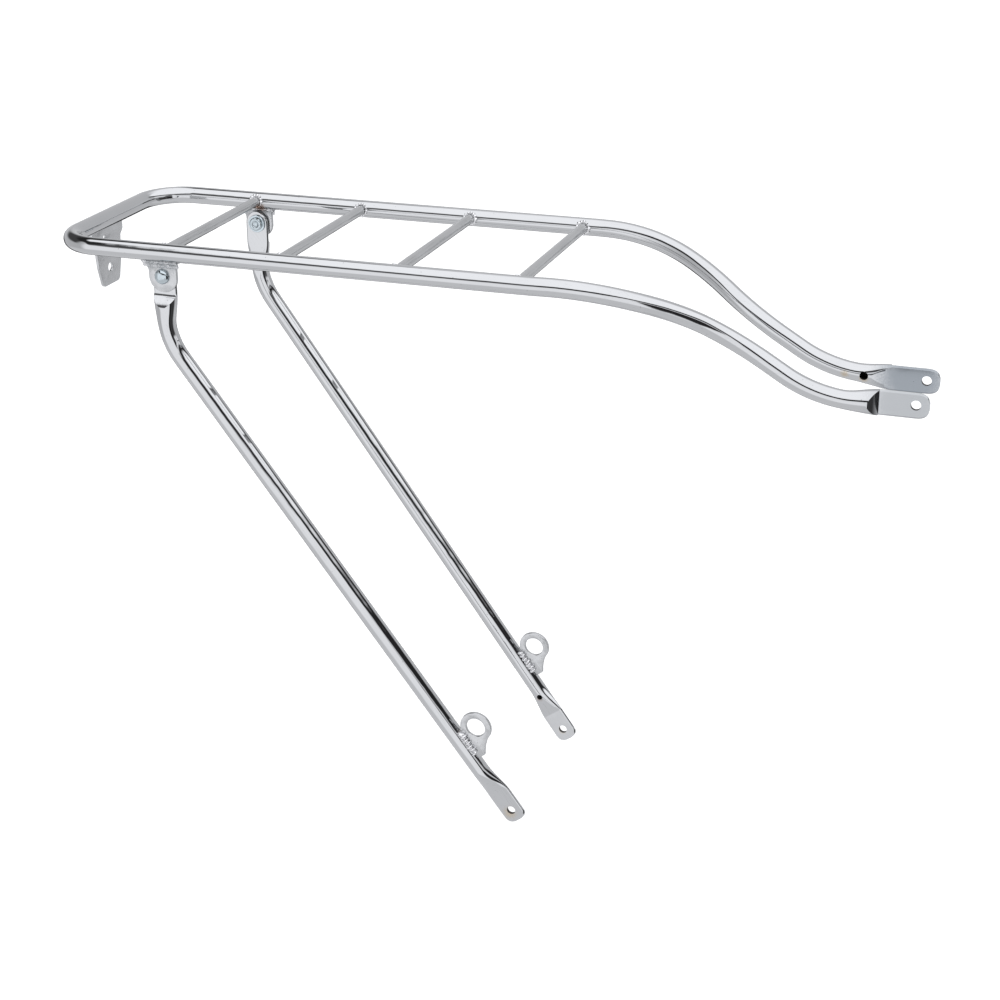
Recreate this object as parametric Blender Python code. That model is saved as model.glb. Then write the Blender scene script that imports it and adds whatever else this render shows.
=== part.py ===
"""Tubular rear carrier rack for a bicycle.

One bent steel tube makes the platform and both front arms. Four cross rods are
welded between its rails, a light bracket hangs under its rear crossbar, and two
legs with ring eyelets swing on rivets through lugs under the rails.

Lengths are in millimetres until a mesh is made. X runs forward, +Y is the left
side and +Z is up. Rack stations count x forward from the centre of the rear
crossbar and z up from the plane of the rails; the part's own origin lies midway
between the two front bolt holes.
"""
import math

import bmesh
import bpy
from mathutils import Vector

MM = 0.001
GAP = 0.3                       # clearance kept between neighbouring pieces

# platform and front arms: one bent tube
TUBE_R = 6.0
WALL = 1.2
RAIL_Y = 72.9                   # rail centre from the middle plane
REAR_BEND_R = 29.0
ARM_Y = 27.2                    # arm centre from the middle plane, in front of the bends
ARM_Z = -69.7
PLAN_BEND_X = (374.6, 456.5)    # corners of the rail's plan, before rounding
PLAN_BEND_R = (159.0, 86.0)
SIDE_BEND_X = (396.8, 511.6)    # corners of the rail's side view, before rounding
SIDE_BEND_R = (186.0, 90.0)
BEND_STEP = 9.0
TUBE_SIDES = 16
BORE_SIDES = 8

# flattened front tabs
TAB_END_X = 581.6
TAB_HOLE_X = 573.0
TAB_HOLE_Z = -69.2
TAB_HOLE_R = 3.25
TAB_STEP_X = 550.0              # the outer wall steps down to the flat here
TAB_FACET = 5.5                 # length of the sloping facet behind the step
TAB_TAPER = 24.0                # length over which the inner wall flattens
TAB_HALF_WIDTH = 8.5
TAB_HALF_THICK = 1.3
TAB_OFFSET = -3.4               # the flat lies towards the inner wall
TAB_VENT_X = 533.0
TAB_VENT_R = 2.8

# cross rods
ROD_X = (80.8, 163.7, 246.3, 328.7)
ROD_R = 3.37
ROD_Z = 0.36
BEAD_WIDTH = 1.5
BEAD_R = 5.0

# pivots, lugs and rivets
PIVOT_X = 79.8
PIVOT_Z = -16.3
LUG_X = 80.2
LUG_THICK = 2.5
LUG_HALF_WIDTH = 10.3
LUG_BOTTOM_Z = -27.1
LUG_REAR_FLARE_X = 66.2
LUG_REAR_FILLET_R = 4.5
LUG_FRONT_FLARE_X = 92.5
LUG_OUTER_BEAD_R = 0.95
LUG_INNER_BEAD_R = 0.45         # thinner, to clear the leg's rounded end
PIVOT_HOLE_R = 3.2
SHANK_R = 2.9
HEAD_R = 5.15
HEAD_HEIGHT = 3.2
TAIL_R = 4.8
TAIL_HEIGHT = 1.75
DIMPLE_R = 2.6
WASHER_R = 6.4
WASHER_THICK = 1.0

# legs
LEG_Y = 71.2                    # leg centre from the middle plane, above its bend
LEG_TOP_X = 79.4                # leg centre at the height of the pivot
LEG_BEND = (78.7, -60.5)        # x and z of the corner between the two straight runs
LEG_BEND_R = 47.0
FOOT_HOLE = (317.9, 62.8, -390.2)    # on the tube's axis
LEG_TOP_HALF_WIDTH = 8.6
LEG_TOP_HALF_THICK = 1.4
LEG_TOP_OFFSET = -1.4
LEG_STEP = 14.4                 # distance of the step line below the pivot
LEG_FACET = 5.5
LEG_TAPER = 28.0
FOOT_HALF_WIDTH = 8.5
FOOT_HALF_THICK = 1.3
FOOT_OFFSET = -2.4
FOOT_HOLE_R = 3.1
FOOT_TAIL = 9.0                 # metal beyond the hole
FOOT_FLAT = 15.0                # the flat runs this far above the hole
FOOT_TAPER = 22.0               # and the round tube begins this much further up
LEG_VENT_UP = 31.0              # distance of the vent above the foot's hole
LEG_VENT_R = 2.1

# ring eyelets on the legs, in distances up the leg and out from its axis
RING_UP = 66.5
RING_OUT = 18.1
RING_R = 11.4
RING_HOLE_R = 7.0
RING_THICK = 2.5
RING_Y = 64.4
RING_FOOT_UP = (46.0, 69.0)     # where the stem's two sides reach the tube
RING_CORNER_OUT = 11.9
RING_NECK = (53.1, 16.6)
RING_TOUCH = (164.0, -62.0)     # where the ring leaves its stem, in degrees
RING_BEAD_UP = (52.0, 68.0)
RING_BEAD_R = 1.0
RING_BEAD_ASIDE = 3.0           # distance of each bead from the plate's middle

# rear light bracket
BRACKET_X = -4.8
BRACKET_THICK = 2.0
BRACKET_TOP_Z = -5.3
BRACKET_OUTLINE = (             # half outline: y, z and corner radius
    (21.0, -5.3, 1.0), (21.0, -14.0, 3.0), (17.2, -17.5, 2.0),
    (15.4, -35.0, 12.0), (11.2, -49.6, 4.0))
BRACKET_BOLT = (0.0, -37.2, 3.25)
BRACKET_PILOT = (-4.6, -14.5, 2.0)
BRACKET_BEAD_Y = (22.5, 31.0)

ORIGIN = Vector((TAB_HOLE_X, 0.0, TAB_HOLE_Z))
UP = Vector((0.0, 0.0, 1.0))
SIDES = {"left": 1.0, "right": -1.0}


# ---------------------------------------------------------------- scene and materials

def clear_scene():
    """Remove every object, so that only the rack is left."""
    for item in list(bpy.data.objects):
        bpy.data.objects.remove(item, do_unlink=True)


def metal(name, colour, roughness, metallic=1.0):
    """A Principled metal finish."""
    material = bpy.data.materials.new(name)
    material.use_nodes = True
    shader = material.node_tree.nodes["Principled BSDF"]
    shader.inputs["Base Color"].default_value = (*colour, 1.0)
    shader.inputs["Roughness"].default_value = roughness
    shader.inputs["Metallic"].default_value = metallic
    material.diffuse_color = (*colour, 1.0)
    return material


def in_frame(point):
    """A rack station in millimetres as a point of the part in metres."""
    return (Vector(point) - ORIGIN) * MM


def add_solid(name, mesh_builder, material, pivot=None, smooth_angle=40.0):
    """Make an object from a bmesh in rack stations, hung on a pivot empty if given."""
    bm = mesh_builder
    base = pivot.location.copy() if pivot else Vector((0.0, 0.0, 0.0))
    for vertex in bm.verts:
        vertex.co = in_frame(vertex.co) - base
    mesh = bpy.data.meshes.new(name)
    bm.to_mesh(mesh)
    bm.free()
    mesh.shade_smooth()
    mesh.set_sharp_from_angle(angle=math.radians(smooth_angle))
    mesh.materials.append(material)
    item = bpy.data.objects.new(name, mesh)
    bpy.context.scene.collection.objects.link(item)
    if pivot:
        item.parent = pivot
    return item


def add_pivot(name, point):
    """An empty on a hinge axis."""
    empty = bpy.data.objects.new(name, None)
    empty.location = in_frame(point)
    bpy.context.scene.collection.objects.link(empty)
    return empty


def cut(item, name, drill, pivot=None):
    """Subtract a bmesh of drills from an object."""
    cutter = add_solid(name, drill, item.data.materials[0], pivot)
    cutter.hide_render = True
    cutter.display_type = "WIRE"
    modifier = item.modifiers.new(name, "BOOLEAN")
    modifier.operation = "DIFFERENCE"
    modifier.solver = "EXACT"
    modifier.object = cutter


# ---------------------------------------------------------------- mesh helpers

def skin(bm, rings, inward=False):
    """Close a shell over a list of rings of equal count, with flat ends."""
    count = len(rings[0])
    rows = [[bm.verts.new(point) for point in ring] for ring in rings]
    faces = [bm.faces.new(rows[0]), bm.faces.new(rows[-1])]
    for row, following in zip(rows, rows[1:]):
        for k in range(count):
            j = (k + 1) % count
            faces.append(bm.faces.new((row[k], row[j], following[j], following[k])))
    bmesh.ops.recalc_face_normals(bm, faces=faces)
    if inward:
        bmesh.ops.reverse_faces(bm, faces=faces)


def turned(bm, centre, axis, profile, sides):
    """Turn a profile of (distance along the axis, radius) pairs round the axis."""
    axis = Vector(axis).normalized()
    across = axis.orthogonal().normalized()
    up = axis.cross(across)
    rings = []
    for along, radius in profile:
        middle = Vector(centre) + axis * along
        rings.append([
            middle + (across * math.cos(t) + up * math.sin(t)) * radius
            for t in (math.tau * k / sides for k in range(sides))])
    skin(bm, rings)


def rounded_outline(corners, steps=4):
    """Round the corners (x, y, radius) of a closed outline with short arcs."""
    outline = []
    count = len(corners)
    for k, (x, y, radius) in enumerate(corners):
        here = Vector((x, y))
        before = Vector(corners[k - 1][:2]) - here
        after = Vector(corners[(k + 1) % count][:2]) - here
        half = before.angle(after) / 2
        reach = radius / math.tan(half)
        start = here + before.normalized() * reach
        end = here + after.normalized() * reach
        middle = here + (before.normalized() + after.normalized()).normalized() * (radius / math.sin(half))
        first, last = start - middle, end - middle
        for step in range(steps + 1):
            share = step / steps
            spoke = (first * (1 - share) + last * share).normalized() * radius
            outline.append(middle + spoke)
    return outline


def plate(bm, outline, place, half_thick):
    """Extrude a closed outline both ways; place(u, v, w) gives a point of the plate."""
    low = [place(point.x, point.y, -half_thick) for point in outline]
    high = [place(point.x, point.y, half_thick) for point in outline]
    skin(bm, [low, high])


def bead(bm, points, radius, sides=8):
    """A short run of weld metal along a line of points, tapered at both ends."""
    points = [Vector(point) for point in points]
    tangent = (points[-1] - points[0]).normalized()
    across = tangent.orthogonal().normalized()
    up = tangent.cross(across)
    last = len(points) - 1
    rings = []
    for k, point in enumerate(points):
        thick = radius * (0.55 if k in (0, last) else 1.0)
        rings.append([
            point + (across * math.cos(t) + up * math.sin(t)) * thick
            for t in (math.tau * j / sides for j in range(sides))])
    skin(bm, rings)


def between(start, end, count):
    """Evenly spaced numbers from start to end."""
    return [start + (end - start) * k / (count - 1) for k in range(count)]


def eased(value, start, end):
    """0 before start, 1 after end, with a smooth run between."""
    share = min(max((value - start) / (end - start), 0.0), 1.0)
    return share * share * (3 - 2 * share)


# ---------------------------------------------------------------- tube sections

def pressed_section(sides, half_width, half_thick, offset, widen, sink, ceiling, narrow=1.0):
    """One section of a tube end pressed flat, as (out, across) pairs.

    widen spreads the tube to the flat's width, sink moves its wall to the flat,
    ceiling planes off the outer wall, and narrow draws in the rounded tip.
    """
    reach = TUBE_R + (half_width - TUBE_R) * widen
    section = []
    for k in range(sides):
        angle = math.tau * k / sides
        out, across = math.cos(angle), math.sin(angle)
        past = max(abs(across) * half_width - (half_width - half_thick), 0.0) / half_thick
        flat = math.copysign(half_thick * math.sqrt(max(1 - past * past, 0.0)), out)
        held = sink * (1 - max(out, 0.0)) if ceiling < TUBE_R + 1 else sink
        level = TUBE_R * out * (1 - held) + (offset + flat) * held
        section.append((min(level, ceiling), reach * across * narrow))
    return section


def facet_height(distance, facet, floor):
    """Height of the sloping facet at a distance past its start, ending in a small step."""
    step_lip = 1.2
    if distance <= 0.0:
        return TUBE_R
    if distance >= facet:
        return floor
    return TUBE_R + (floor + step_lip - TUBE_R) * distance / facet


def tip(share):
    """Half-width of a rounded tip, as a share of the full width, from its root to its end."""
    return max((1 - share ** 3) ** (1 / 3), 0.42)


def placed_ring(section, centre, tangent, outward):
    """Set a section square to the tangent, its out direction towards outward."""
    tangent = tangent.normalized()
    out = (outward - tangent * outward.dot(tangent)).normalized()
    across = tangent.cross(out)
    return [centre + out * a + across * b for a, b in section]


# ---------------------------------------------------------------- carrier tube

def eased_corner(x, corners_x, values, radii):
    """Value at x of two level runs joined by a slope, with both corners rounded."""
    (x1, x2), (v1, v2), (r1, r2) = corners_x, values, radii
    slope = (v2 - v1) / (x2 - x1)
    angle = math.atan(abs(slope))
    sign = math.copysign(1.0, slope)
    start, leave = x1 - r1 * math.tan(angle / 2), x1 + r1 * math.tan(angle / 2) * math.cos(angle)
    arrive, end = x2 - r2 * math.tan(angle / 2) * math.cos(angle), x2 + r2 * math.tan(angle / 2)
    if x <= start:
        return v1
    if x < leave:
        return v1 + sign * (r1 - math.sqrt(r1 * r1 - (x - start) ** 2))
    if x <= arrive:
        return v1 + slope * (x - x1)
    if x < end:
        return v2 - sign * (r2 - math.sqrt(r2 * r2 - (end - x) ** 2))
    return v2


def rail_point(x):
    """Centre of the left rail and arm at station x."""
    y = eased_corner(x, PLAN_BEND_X, (RAIL_Y, ARM_Y), PLAN_BEND_R)
    z = eased_corner(x, SIDE_BEND_X, (0.0, ARM_Z), SIDE_BEND_R)
    return Vector((x, y, z))


def half_hoop(front_stations):
    """Points from the middle of the rear crossbar round to the left front tab."""
    points = []
    middle = Vector((REAR_BEND_R, RAIL_Y - REAR_BEND_R, 0.0))
    for angle in between(math.pi, math.pi / 2, 8):
        points.append(middle + Vector((math.cos(angle), math.sin(angle), 0.0)) * REAR_BEND_R)
    points += [rail_point(x) for x in front_stations]
    return points


def hoop_stations():
    """Stations along a rail, from behind the bends to the start of the pressed tab."""
    bends_start = PLAN_BEND_X[0] - 42.0
    return between(bends_start, TAB_STEP_X - TAB_TAPER, int(190 / BEND_STEP) + 1)


def tab_stations():
    """Stations of the pressed tab, close together at its facet, step and tip."""
    facet_start = TAB_STEP_X - TAB_FACET
    tip_root = TAB_HOLE_X - 1.0
    tip_run = TAB_END_X - tip_root
    pressed = [TAB_STEP_X - 20, TAB_STEP_X - 15, TAB_STEP_X - 11, facet_start, facet_start + 2.0,
               facet_start + 4.0, TAB_STEP_X - 0.01, TAB_STEP_X + 0.5, TAB_STEP_X + 4.0]
    return pressed + [tip_root + tip_run * share for share in (0.0, 0.42, 0.68, 0.87, 1.0)]


def tab_section(x):
    """Outer section of the carrier tube at station x."""
    taper = eased(x, TAB_STEP_X - TAB_TAPER, TAB_STEP_X + 3.0)
    ceiling = facet_height(x - (TAB_STEP_X - TAB_FACET), TAB_FACET, TAB_OFFSET + TAB_HALF_THICK)
    tip_root = TAB_HOLE_X - 1.0
    share = max((x - tip_root) / (TAB_END_X - tip_root), 0.0)
    return pressed_section(TUBE_SIDES, TAB_HALF_WIDTH, TAB_HALF_THICK, TAB_OFFSET, taper, taper,
                           ceiling, tip(share))


def mirrored_path(half):
    """Left half reversed, then the right half: one path from tab to tab."""
    left = [point.copy() for point in reversed(half)]
    right = [Vector((point.x, -point.y, point.z)) for point in half]
    return left + right


def path_rings(path, section_at):
    """Rings square to a path; the out direction points away from the middle plane."""
    rings = []
    last = len(path) - 1
    for k, centre in enumerate(path):
        tangent = path[min(k + 1, last)] - path[max(k - 1, 0)]
        rings.append(placed_ring(section_at(centre), centre, tangent, tangent.cross(UP)))
    return rings


def bore_section(scale):
    """Section of the tube's hollow."""
    radius = (TUBE_R - WALL) * scale
    return [(radius * math.cos(math.tau * k / BORE_SIDES), radius * math.sin(math.tau * k / BORE_SIDES))
            for k in range(BORE_SIDES)]


def make_carrier_tube(finish):
    """The bent tube: crossbar, two rails, two S-bends and two punched front tabs."""
    bm = bmesh.new()
    outer = mirrored_path(half_hoop(hoop_stations() + tab_stations()))
    skin(bm, path_rings(outer, lambda centre: tab_section(centre.x)))
    bore_end = TAB_STEP_X - 12.0
    inner = mirrored_path(half_hoop(hoop_stations() + [TAB_STEP_X - 18.0, bore_end]))
    skin(bm, path_rings(inner, lambda centre: bore_section(0.5 if centre.x >= bore_end else 1.0)), inward=True)
    tube = add_solid("carrier_tube", bm, finish)

    drills = bmesh.new()
    for side in SIDES.values():
        turned(drills, (TAB_HOLE_X, side * (ARM_Y + TAB_OFFSET), TAB_HOLE_Z), (0, 1, 0),
               ((-4.0, TAB_HOLE_R), (4.0, TAB_HOLE_R)), 20)
        turned(drills, (TAB_VENT_X, side * ARM_Y, ARM_Z), (0, -side, 0),
               ((1.0, TAB_VENT_R), (8.0, TAB_VENT_R)), 12)
    cut(tube, "carrier_tube_drills", drills)


def make_cross_rods(finish, weld):
    """Four straight rods between the rails, with a ring of weld at each end."""
    rod_end = RAIL_Y - TUBE_R - GAP
    bead_end = rod_end - 0.05
    inside = ROD_R + GAP
    for number, x in enumerate(ROD_X, start=1):
        bm = bmesh.new()
        turned(bm, (x, 0, ROD_Z), (0, 1, 0), ((-rod_end, ROD_R), (rod_end, ROD_R)), 16)
        add_solid(f"cross_rod_{number}", bm, finish)
        for side_name, side in SIDES.items():
            bm = bmesh.new()
            ring = [(inside, bead_end - BEAD_WIDTH), (inside + 0.5, bead_end - BEAD_WIDTH),
                    (BEAD_R, bead_end - 0.4), (BEAD_R, bead_end), (inside, bead_end)]
            ring_of_weld(bm, (x, ROD_Z), side, ring)
            add_solid(f"rod_{number}_weld_{side_name}", bm, weld)


def ring_of_weld(bm, centre, side, profile, sides=16):
    """A closed ring round a rod: profile holds (radius, distance from the middle plane)."""
    rows = []
    for k in range(sides):
        angle = math.tau * k / sides
        rows.append([bm.verts.new((centre[0] + radius * math.cos(angle), side * along,
                                   centre[1] + radius * math.sin(angle))) for radius, along in profile])
    count = len(profile)
    for k in range(sides):
        row, following = rows[k], rows[(k + 1) % sides]
        for j in range(count):
            i = (j + 1) % count
            bm.faces.new((row[j], row[i], following[i], following[j]))
    bmesh.ops.recalc_face_normals(bm, faces=bm.faces)


def make_light_bracket(finish, weld):
    """The plate under the rear crossbar, with its bolt hole, pilot hole and two tack welds."""
    right = [(y, z, radius) for y, z, radius in BRACKET_OUTLINE]
    left = [(-y, z, radius) for y, z, radius in reversed(BRACKET_OUTLINE)]
    bm = bmesh.new()
    plate(bm, rounded_outline(right + left), lambda y, z, w: Vector((BRACKET_X + w, y, z)),
          BRACKET_THICK / 2)
    bracket = add_solid("light_bracket", bm, finish)
    drills = bmesh.new()
    for y, z, radius in (BRACKET_BOLT, BRACKET_PILOT):
        turned(drills, (BRACKET_X, y, z), (1, 0, 0), ((-3.0, radius), (3.0, radius)), 16)
    cut(bracket, "light_bracket_drills", drills)
    for side_name, side in SIDES.items():
        bm = bmesh.new()
        run = between(BRACKET_BEAD_Y[0], BRACKET_BEAD_Y[1], 4)
        bead(bm, [(BRACKET_X, side * y, BRACKET_TOP_Z - 0.3) for y in run], 1.0)
        add_solid(f"bracket_weld_{side_name}", bm, weld)


# ---------------------------------------------------------------- lugs, rivets and washers

def make_lug(side_name, side, finish, weld):
    """The pivot lug welded under a rail, its hole, and a weld bead on each face."""
    top = -TUBE_R - GAP + 0.05
    bottom_r = LUG_HALF_WIDTH - 0.2
    left_x, right_x = LUG_X - LUG_HALF_WIDTH, LUG_X + LUG_HALF_WIDTH
    corners = (
        (left_x, LUG_BOTTOM_Z, bottom_r), (right_x, LUG_BOTTOM_Z, bottom_r),
        (right_x, top - 1.6, 1.0), (LUG_FRONT_FLARE_X, top, 0.2),
        (LUG_REAR_FLARE_X, top, 0.2), (left_x, top - 5.6, LUG_REAR_FILLET_R))
    bm = bmesh.new()
    plate(bm, rounded_outline(corners, steps=6),
          lambda x, z, w: Vector((x, side * (RAIL_Y + w), z)), LUG_THICK / 2)
    lug = add_solid(f"pivot_lug_{side_name}", bm, finish)
    drills = bmesh.new()
    turned(drills, (PIVOT_X, side * RAIL_Y, PIVOT_Z), (0, 1, 0),
           ((-4.0, PIVOT_HOLE_R), (4.0, PIVOT_HOLE_R)), 20)
    cut(lug, f"pivot_lug_drill_{side_name}", drills)
    for face_name, outward, bead_r in (("outer", 1.0, LUG_OUTER_BEAD_R), ("inner", -1.0, LUG_INNER_BEAD_R)):
        from_middle = LUG_THICK / 2 + GAP + bead_r
        drop = math.sqrt((TUBE_R + GAP + bead_r) ** 2 - from_middle ** 2) + 0.05
        y = side * (RAIL_Y + outward * from_middle)
        run = between(LUG_REAR_FLARE_X + 2.0, LUG_FRONT_FLARE_X - 2.0, 6)
        bm = bmesh.new()
        bead(bm, [(x, y, -drop) for x in run], bead_r)
        add_solid(f"lug_weld_{face_name}_{side_name}", bm, weld)


def make_rivet(side_name, side, finish):
    """Domed rivet through lug, leg and washer, peened over inside."""
    head_seat = LUG_THICK / 2 + GAP
    leg_inner = LEG_Y + LEG_TOP_OFFSET - LEG_TOP_HALF_THICK - RAIL_Y
    tail_seat = leg_inner - GAP - WASHER_THICK - GAP
    tail_end = tail_seat - TAIL_HEIGHT
    dome = [(head_seat + HEAD_HEIGHT * math.sin(t), HEAD_R * math.cos(t))
            for t in (math.pi / 2 * k / 5 for k in range(5))]
    profile = [
        (tail_end + 0.9, 0.4), (tail_end + 0.8, DIMPLE_R * 0.7), (tail_end, DIMPLE_R),
        (tail_end, TAIL_R - 0.6), (tail_end + 0.6, TAIL_R), (tail_seat, TAIL_R),
        (tail_seat, SHANK_R), (head_seat, SHANK_R)]
    profile += dome + [(head_seat + HEAD_HEIGHT, 0.4)]
    bm = bmesh.new()
    turned(bm, (PIVOT_X, side * RAIL_Y, PIVOT_Z), (0, side, 0), profile, 20)
    add_solid(f"pivot_rivet_{side_name}", bm, finish)


def make_washer(side_name, side, finish):
    """Flat washer between the leg and the rivet's peened end."""
    outer_face = LEG_Y + LEG_TOP_OFFSET - LEG_TOP_HALF_THICK - GAP
    profile = [(PIVOT_HOLE_R, outer_face), (WASHER_R, outer_face),
               (WASHER_R, outer_face - WASHER_THICK), (PIVOT_HOLE_R, outer_face - WASHER_THICK)]
    bm = bmesh.new()
    ring_of_weld(bm, (PIVOT_X, PIVOT_Z), side, profile, sides=20)
    add_solid(f"rivet_washer_{side_name}", bm, finish)


# ---------------------------------------------------------------- legs

def leg_lines(side):
    """Corner points of a leg's centre line: pivot, bend and foot hole."""
    pivot = Vector((LEG_TOP_X, side * LEG_Y, PIVOT_Z))
    bend = Vector((LEG_BEND[0], side * LEG_Y, LEG_BEND[1]))
    foot = Vector((FOOT_HOLE[0], side * FOOT_HOLE[1], FOOT_HOLE[2]))
    return pivot, bend, foot


def leg_bend_points(side, count):
    """Points of the rounded bend between the two straight runs."""
    pivot, bend, foot = leg_lines(side)
    before, after = (pivot - bend).normalized(), (foot - bend).normalized()
    half = before.angle(after) / 2
    reach = LEG_BEND_R / math.tan(half)
    middle = bend + (before + after).normalized() * (LEG_BEND_R / math.sin(half))
    first, last = bend + before * reach - middle, bend + after * reach - middle
    sweep = first.angle(last)
    turn = first.cross(last).normalized()
    points = []
    for angle in between(0.0, sweep, count):
        points.append(middle + first * math.cos(angle) + turn.cross(first) * math.sin(angle))
    return points


def top_section(below):
    """Section of a leg at a distance below its pivot."""
    taper = 1.0 - eased(below, LEG_STEP - 3.0, LEG_STEP + LEG_TAPER)
    ceiling = facet_height(LEG_STEP + LEG_FACET - below, LEG_FACET, LEG_TOP_OFFSET + LEG_TOP_HALF_THICK)
    narrow = 1.0
    if below < 0.0:
        share = min(-below / LEG_TOP_HALF_WIDTH, 1.0)
        narrow = max(math.sqrt(1 - share * share), 0.25)
    return pressed_section(TUBE_SIDES, LEG_TOP_HALF_WIDTH, LEG_TOP_HALF_THICK, LEG_TOP_OFFSET,
                           taper, taper, ceiling, narrow)


def foot_section(above):
    """Section of a leg at a distance above its foot's hole."""
    taper = 1.0 - eased(above, FOOT_FLAT, FOOT_FLAT + FOOT_TAPER)
    tip_root = -2.0
    share = max((tip_root - above) / (FOOT_TAIL + tip_root), 0.0)
    return pressed_section(TUBE_SIDES, FOOT_HALF_WIDTH, FOOT_HALF_THICK, FOOT_OFFSET, taper, taper,
                           TUBE_R + 2, tip(share))


def make_leg(side_name, side, pivot_empty, finish):
    """One hollow leg: pressed pivot end, bend, long straight and pressed foot."""
    pivot, bend, foot = leg_lines(side)
    down, along = (bend - pivot).normalized(), (foot - bend).normalized()
    outward = Vector((0.0, side, 0.0))
    straight = along.dot(foot - bend)

    def rings_along(top, bends, feet, top_shape, foot_shape):
        rings = [placed_ring(top_shape(d), pivot + down * d, down, outward) for d in top]
        arc = leg_bend_points(side, bends)
        for k, centre in enumerate(arc):
            tangent = down.lerp(along, k / (bends - 1))
            distance = (centre - pivot).length
            rings.append(placed_ring(top_shape(distance), centre, tangent, outward))
        rings += [placed_ring(foot_shape(d), foot - along * d, along, outward) for d in feet]
        return rings

    step, facet_end = LEG_STEP, LEG_STEP + LEG_FACET
    tops = [-LEG_TOP_HALF_WIDTH * share for share in (1.0, 0.9, 0.7, 0.4, 0.0)]
    tops += [step - 3.0, step - 0.5, step + 0.01, step + 2.0, step + 4.0, facet_end, facet_end + 4.0]
    shoulder = FOOT_FLAT + FOOT_TAPER
    feet = [shoulder, shoulder - 5, shoulder - 9, shoulder - 13, shoulder - 17, FOOT_FLAT, -2.0]
    feet += [-2.0 - (FOOT_TAIL - 2.0) * share for share in (0.42, 0.68, 0.87, 1.0)]
    bm = bmesh.new()
    skin(bm, rings_along(tops, 8, feet, top_section, foot_section))
    bore_top, bore_foot = facet_end + 3.0, shoulder - 6.0
    skin(bm, rings_along(
        [bore_top, bore_top + 2.0], 8, [straight * 0.5, shoulder + 1.0, bore_foot],
        lambda d: bore_section(0.5 if d <= bore_top else 1.0),
        lambda d: bore_section(0.6 if d <= bore_foot else 1.0)), inward=True)
    leg = add_solid(f"leg_{side_name}", bm, finish, pivot_empty)

    drills = bmesh.new()
    turned(drills, (PIVOT_X, side * (LEG_Y + LEG_TOP_OFFSET), PIVOT_Z), (0, 1, 0),
           ((-5.0, PIVOT_HOLE_R), (5.0, PIVOT_HOLE_R)), 20)
    turned(drills, foot, (0, 1, 0), ((-5.0, FOOT_HOLE_R), (5.0, FOOT_HOLE_R)), 20)
    turned(drills, foot - along * LEG_VENT_UP, (0, -side, 0),
           ((1.0, LEG_VENT_R), (9.0, LEG_VENT_R)), 12)
    cut(leg, f"leg_drills_{side_name}", drills, pivot_empty)


def leg_plane(side):
    """A function placing (up the leg, out from its axis, sideways) on a leg."""
    _, bend, foot = leg_lines(side)
    along = foot - bend
    run = Vector((along.x, 0.0, along.z)).normalized()
    out = Vector((-run.z, 0.0, run.x))

    def place(up_leg, out_from_axis, sideways):
        point = foot - run * up_leg + out * out_from_axis
        return Vector((point.x, side * (RING_Y + sideways), point.z))
    return place


def make_eyelet(side_name, side, pivot_empty, finish, weld):
    """Ring eyelet on a stem, welded to the front of a leg."""
    place = leg_plane(side)
    seat = TUBE_R + GAP
    low, high = RING_FOOT_UP
    neck = Vector(RING_NECK)
    middle = Vector((RING_UP, RING_OUT))
    outline = [Vector((low, seat)), Vector((low, RING_CORNER_OUT - 0.6)),
               Vector((low + 0.6, RING_CORNER_OUT)), neck]
    for angle in between(math.radians(RING_TOUCH[0]), math.radians(RING_TOUCH[1]), 20):
        outline.append(middle + Vector((math.cos(angle), math.sin(angle))) * RING_R)
    outline.append(Vector((high, seat)))
    bm = bmesh.new()
    plate(bm, outline, place, RING_THICK / 2)
    eyelet = add_solid(f"ring_eyelet_{side_name}", bm, finish, pivot_empty)
    drills = bmesh.new()
    turned(drills, place(RING_UP, RING_OUT, 0.0), (0, 1, 0),
           ((-4.0, RING_HOLE_R), (4.0, RING_HOLE_R)), 24)
    cut(eyelet, f"ring_eyelet_drill_{side_name}", drills, pivot_empty)

    bead_out = math.sqrt((seat + RING_BEAD_R + 0.1) ** 2 - RING_BEAD_ASIDE ** 2) + 0.1
    for face_name, sideways in (("outer", 1.0), ("inner", -1.0)):
        offset = sideways * RING_BEAD_ASIDE
        bm = bmesh.new()
        bead(bm, [place(up_leg, bead_out, offset) for up_leg in between(*RING_BEAD_UP, 5)], RING_BEAD_R)
        add_solid(f"eyelet_weld_{face_name}_{side_name}", bm, weld, pivot_empty)


def main():
    """Build the whole rack."""
    clear_scene()
    chrome = metal("polished_chrome", (0.78, 0.79, 0.80), 0.07)
    satin = metal("satin_chrome_plate", (0.62, 0.63, 0.64), 0.28)
    weld = metal("plated_weld", (0.58, 0.59, 0.60), 0.35)
    zinc = metal("zinc_rivet", (0.66, 0.72, 0.74), 0.30)
    make_carrier_tube(chrome)
    make_cross_rods(chrome, weld)
    make_light_bracket(satin, weld)
    for side_name, side in SIDES.items():
        pivot_empty = add_pivot(f"leg_pivot_{side_name}", (PIVOT_X, side * RAIL_Y, PIVOT_Z))
        make_lug(side_name, side, satin, weld)
        make_rivet(side_name, side, zinc)
        make_washer(side_name, side, zinc)
        make_leg(side_name, side, pivot_empty, chrome)
        make_eyelet(side_name, side, pivot_empty, satin, weld)
    bpy.context.view_layer.update()


main()
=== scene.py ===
"""Looks of a tubular chromed bicycle rear rack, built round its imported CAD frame.

Lengths are in millimetres until a mesh is made. Rack stations count x forward from
the centre of the rear crossbar and z up from the plane of the rails; +Y is the left
side. The shared frame's origin lies midway between the two front bolt holes.
"""
import logging
import math
from collections.abc import Callable, Iterable, Sequence
from dataclasses import dataclass, field
from enum import Enum

import bmesh
import bpy
from mathutils import Matrix, Vector


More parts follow.
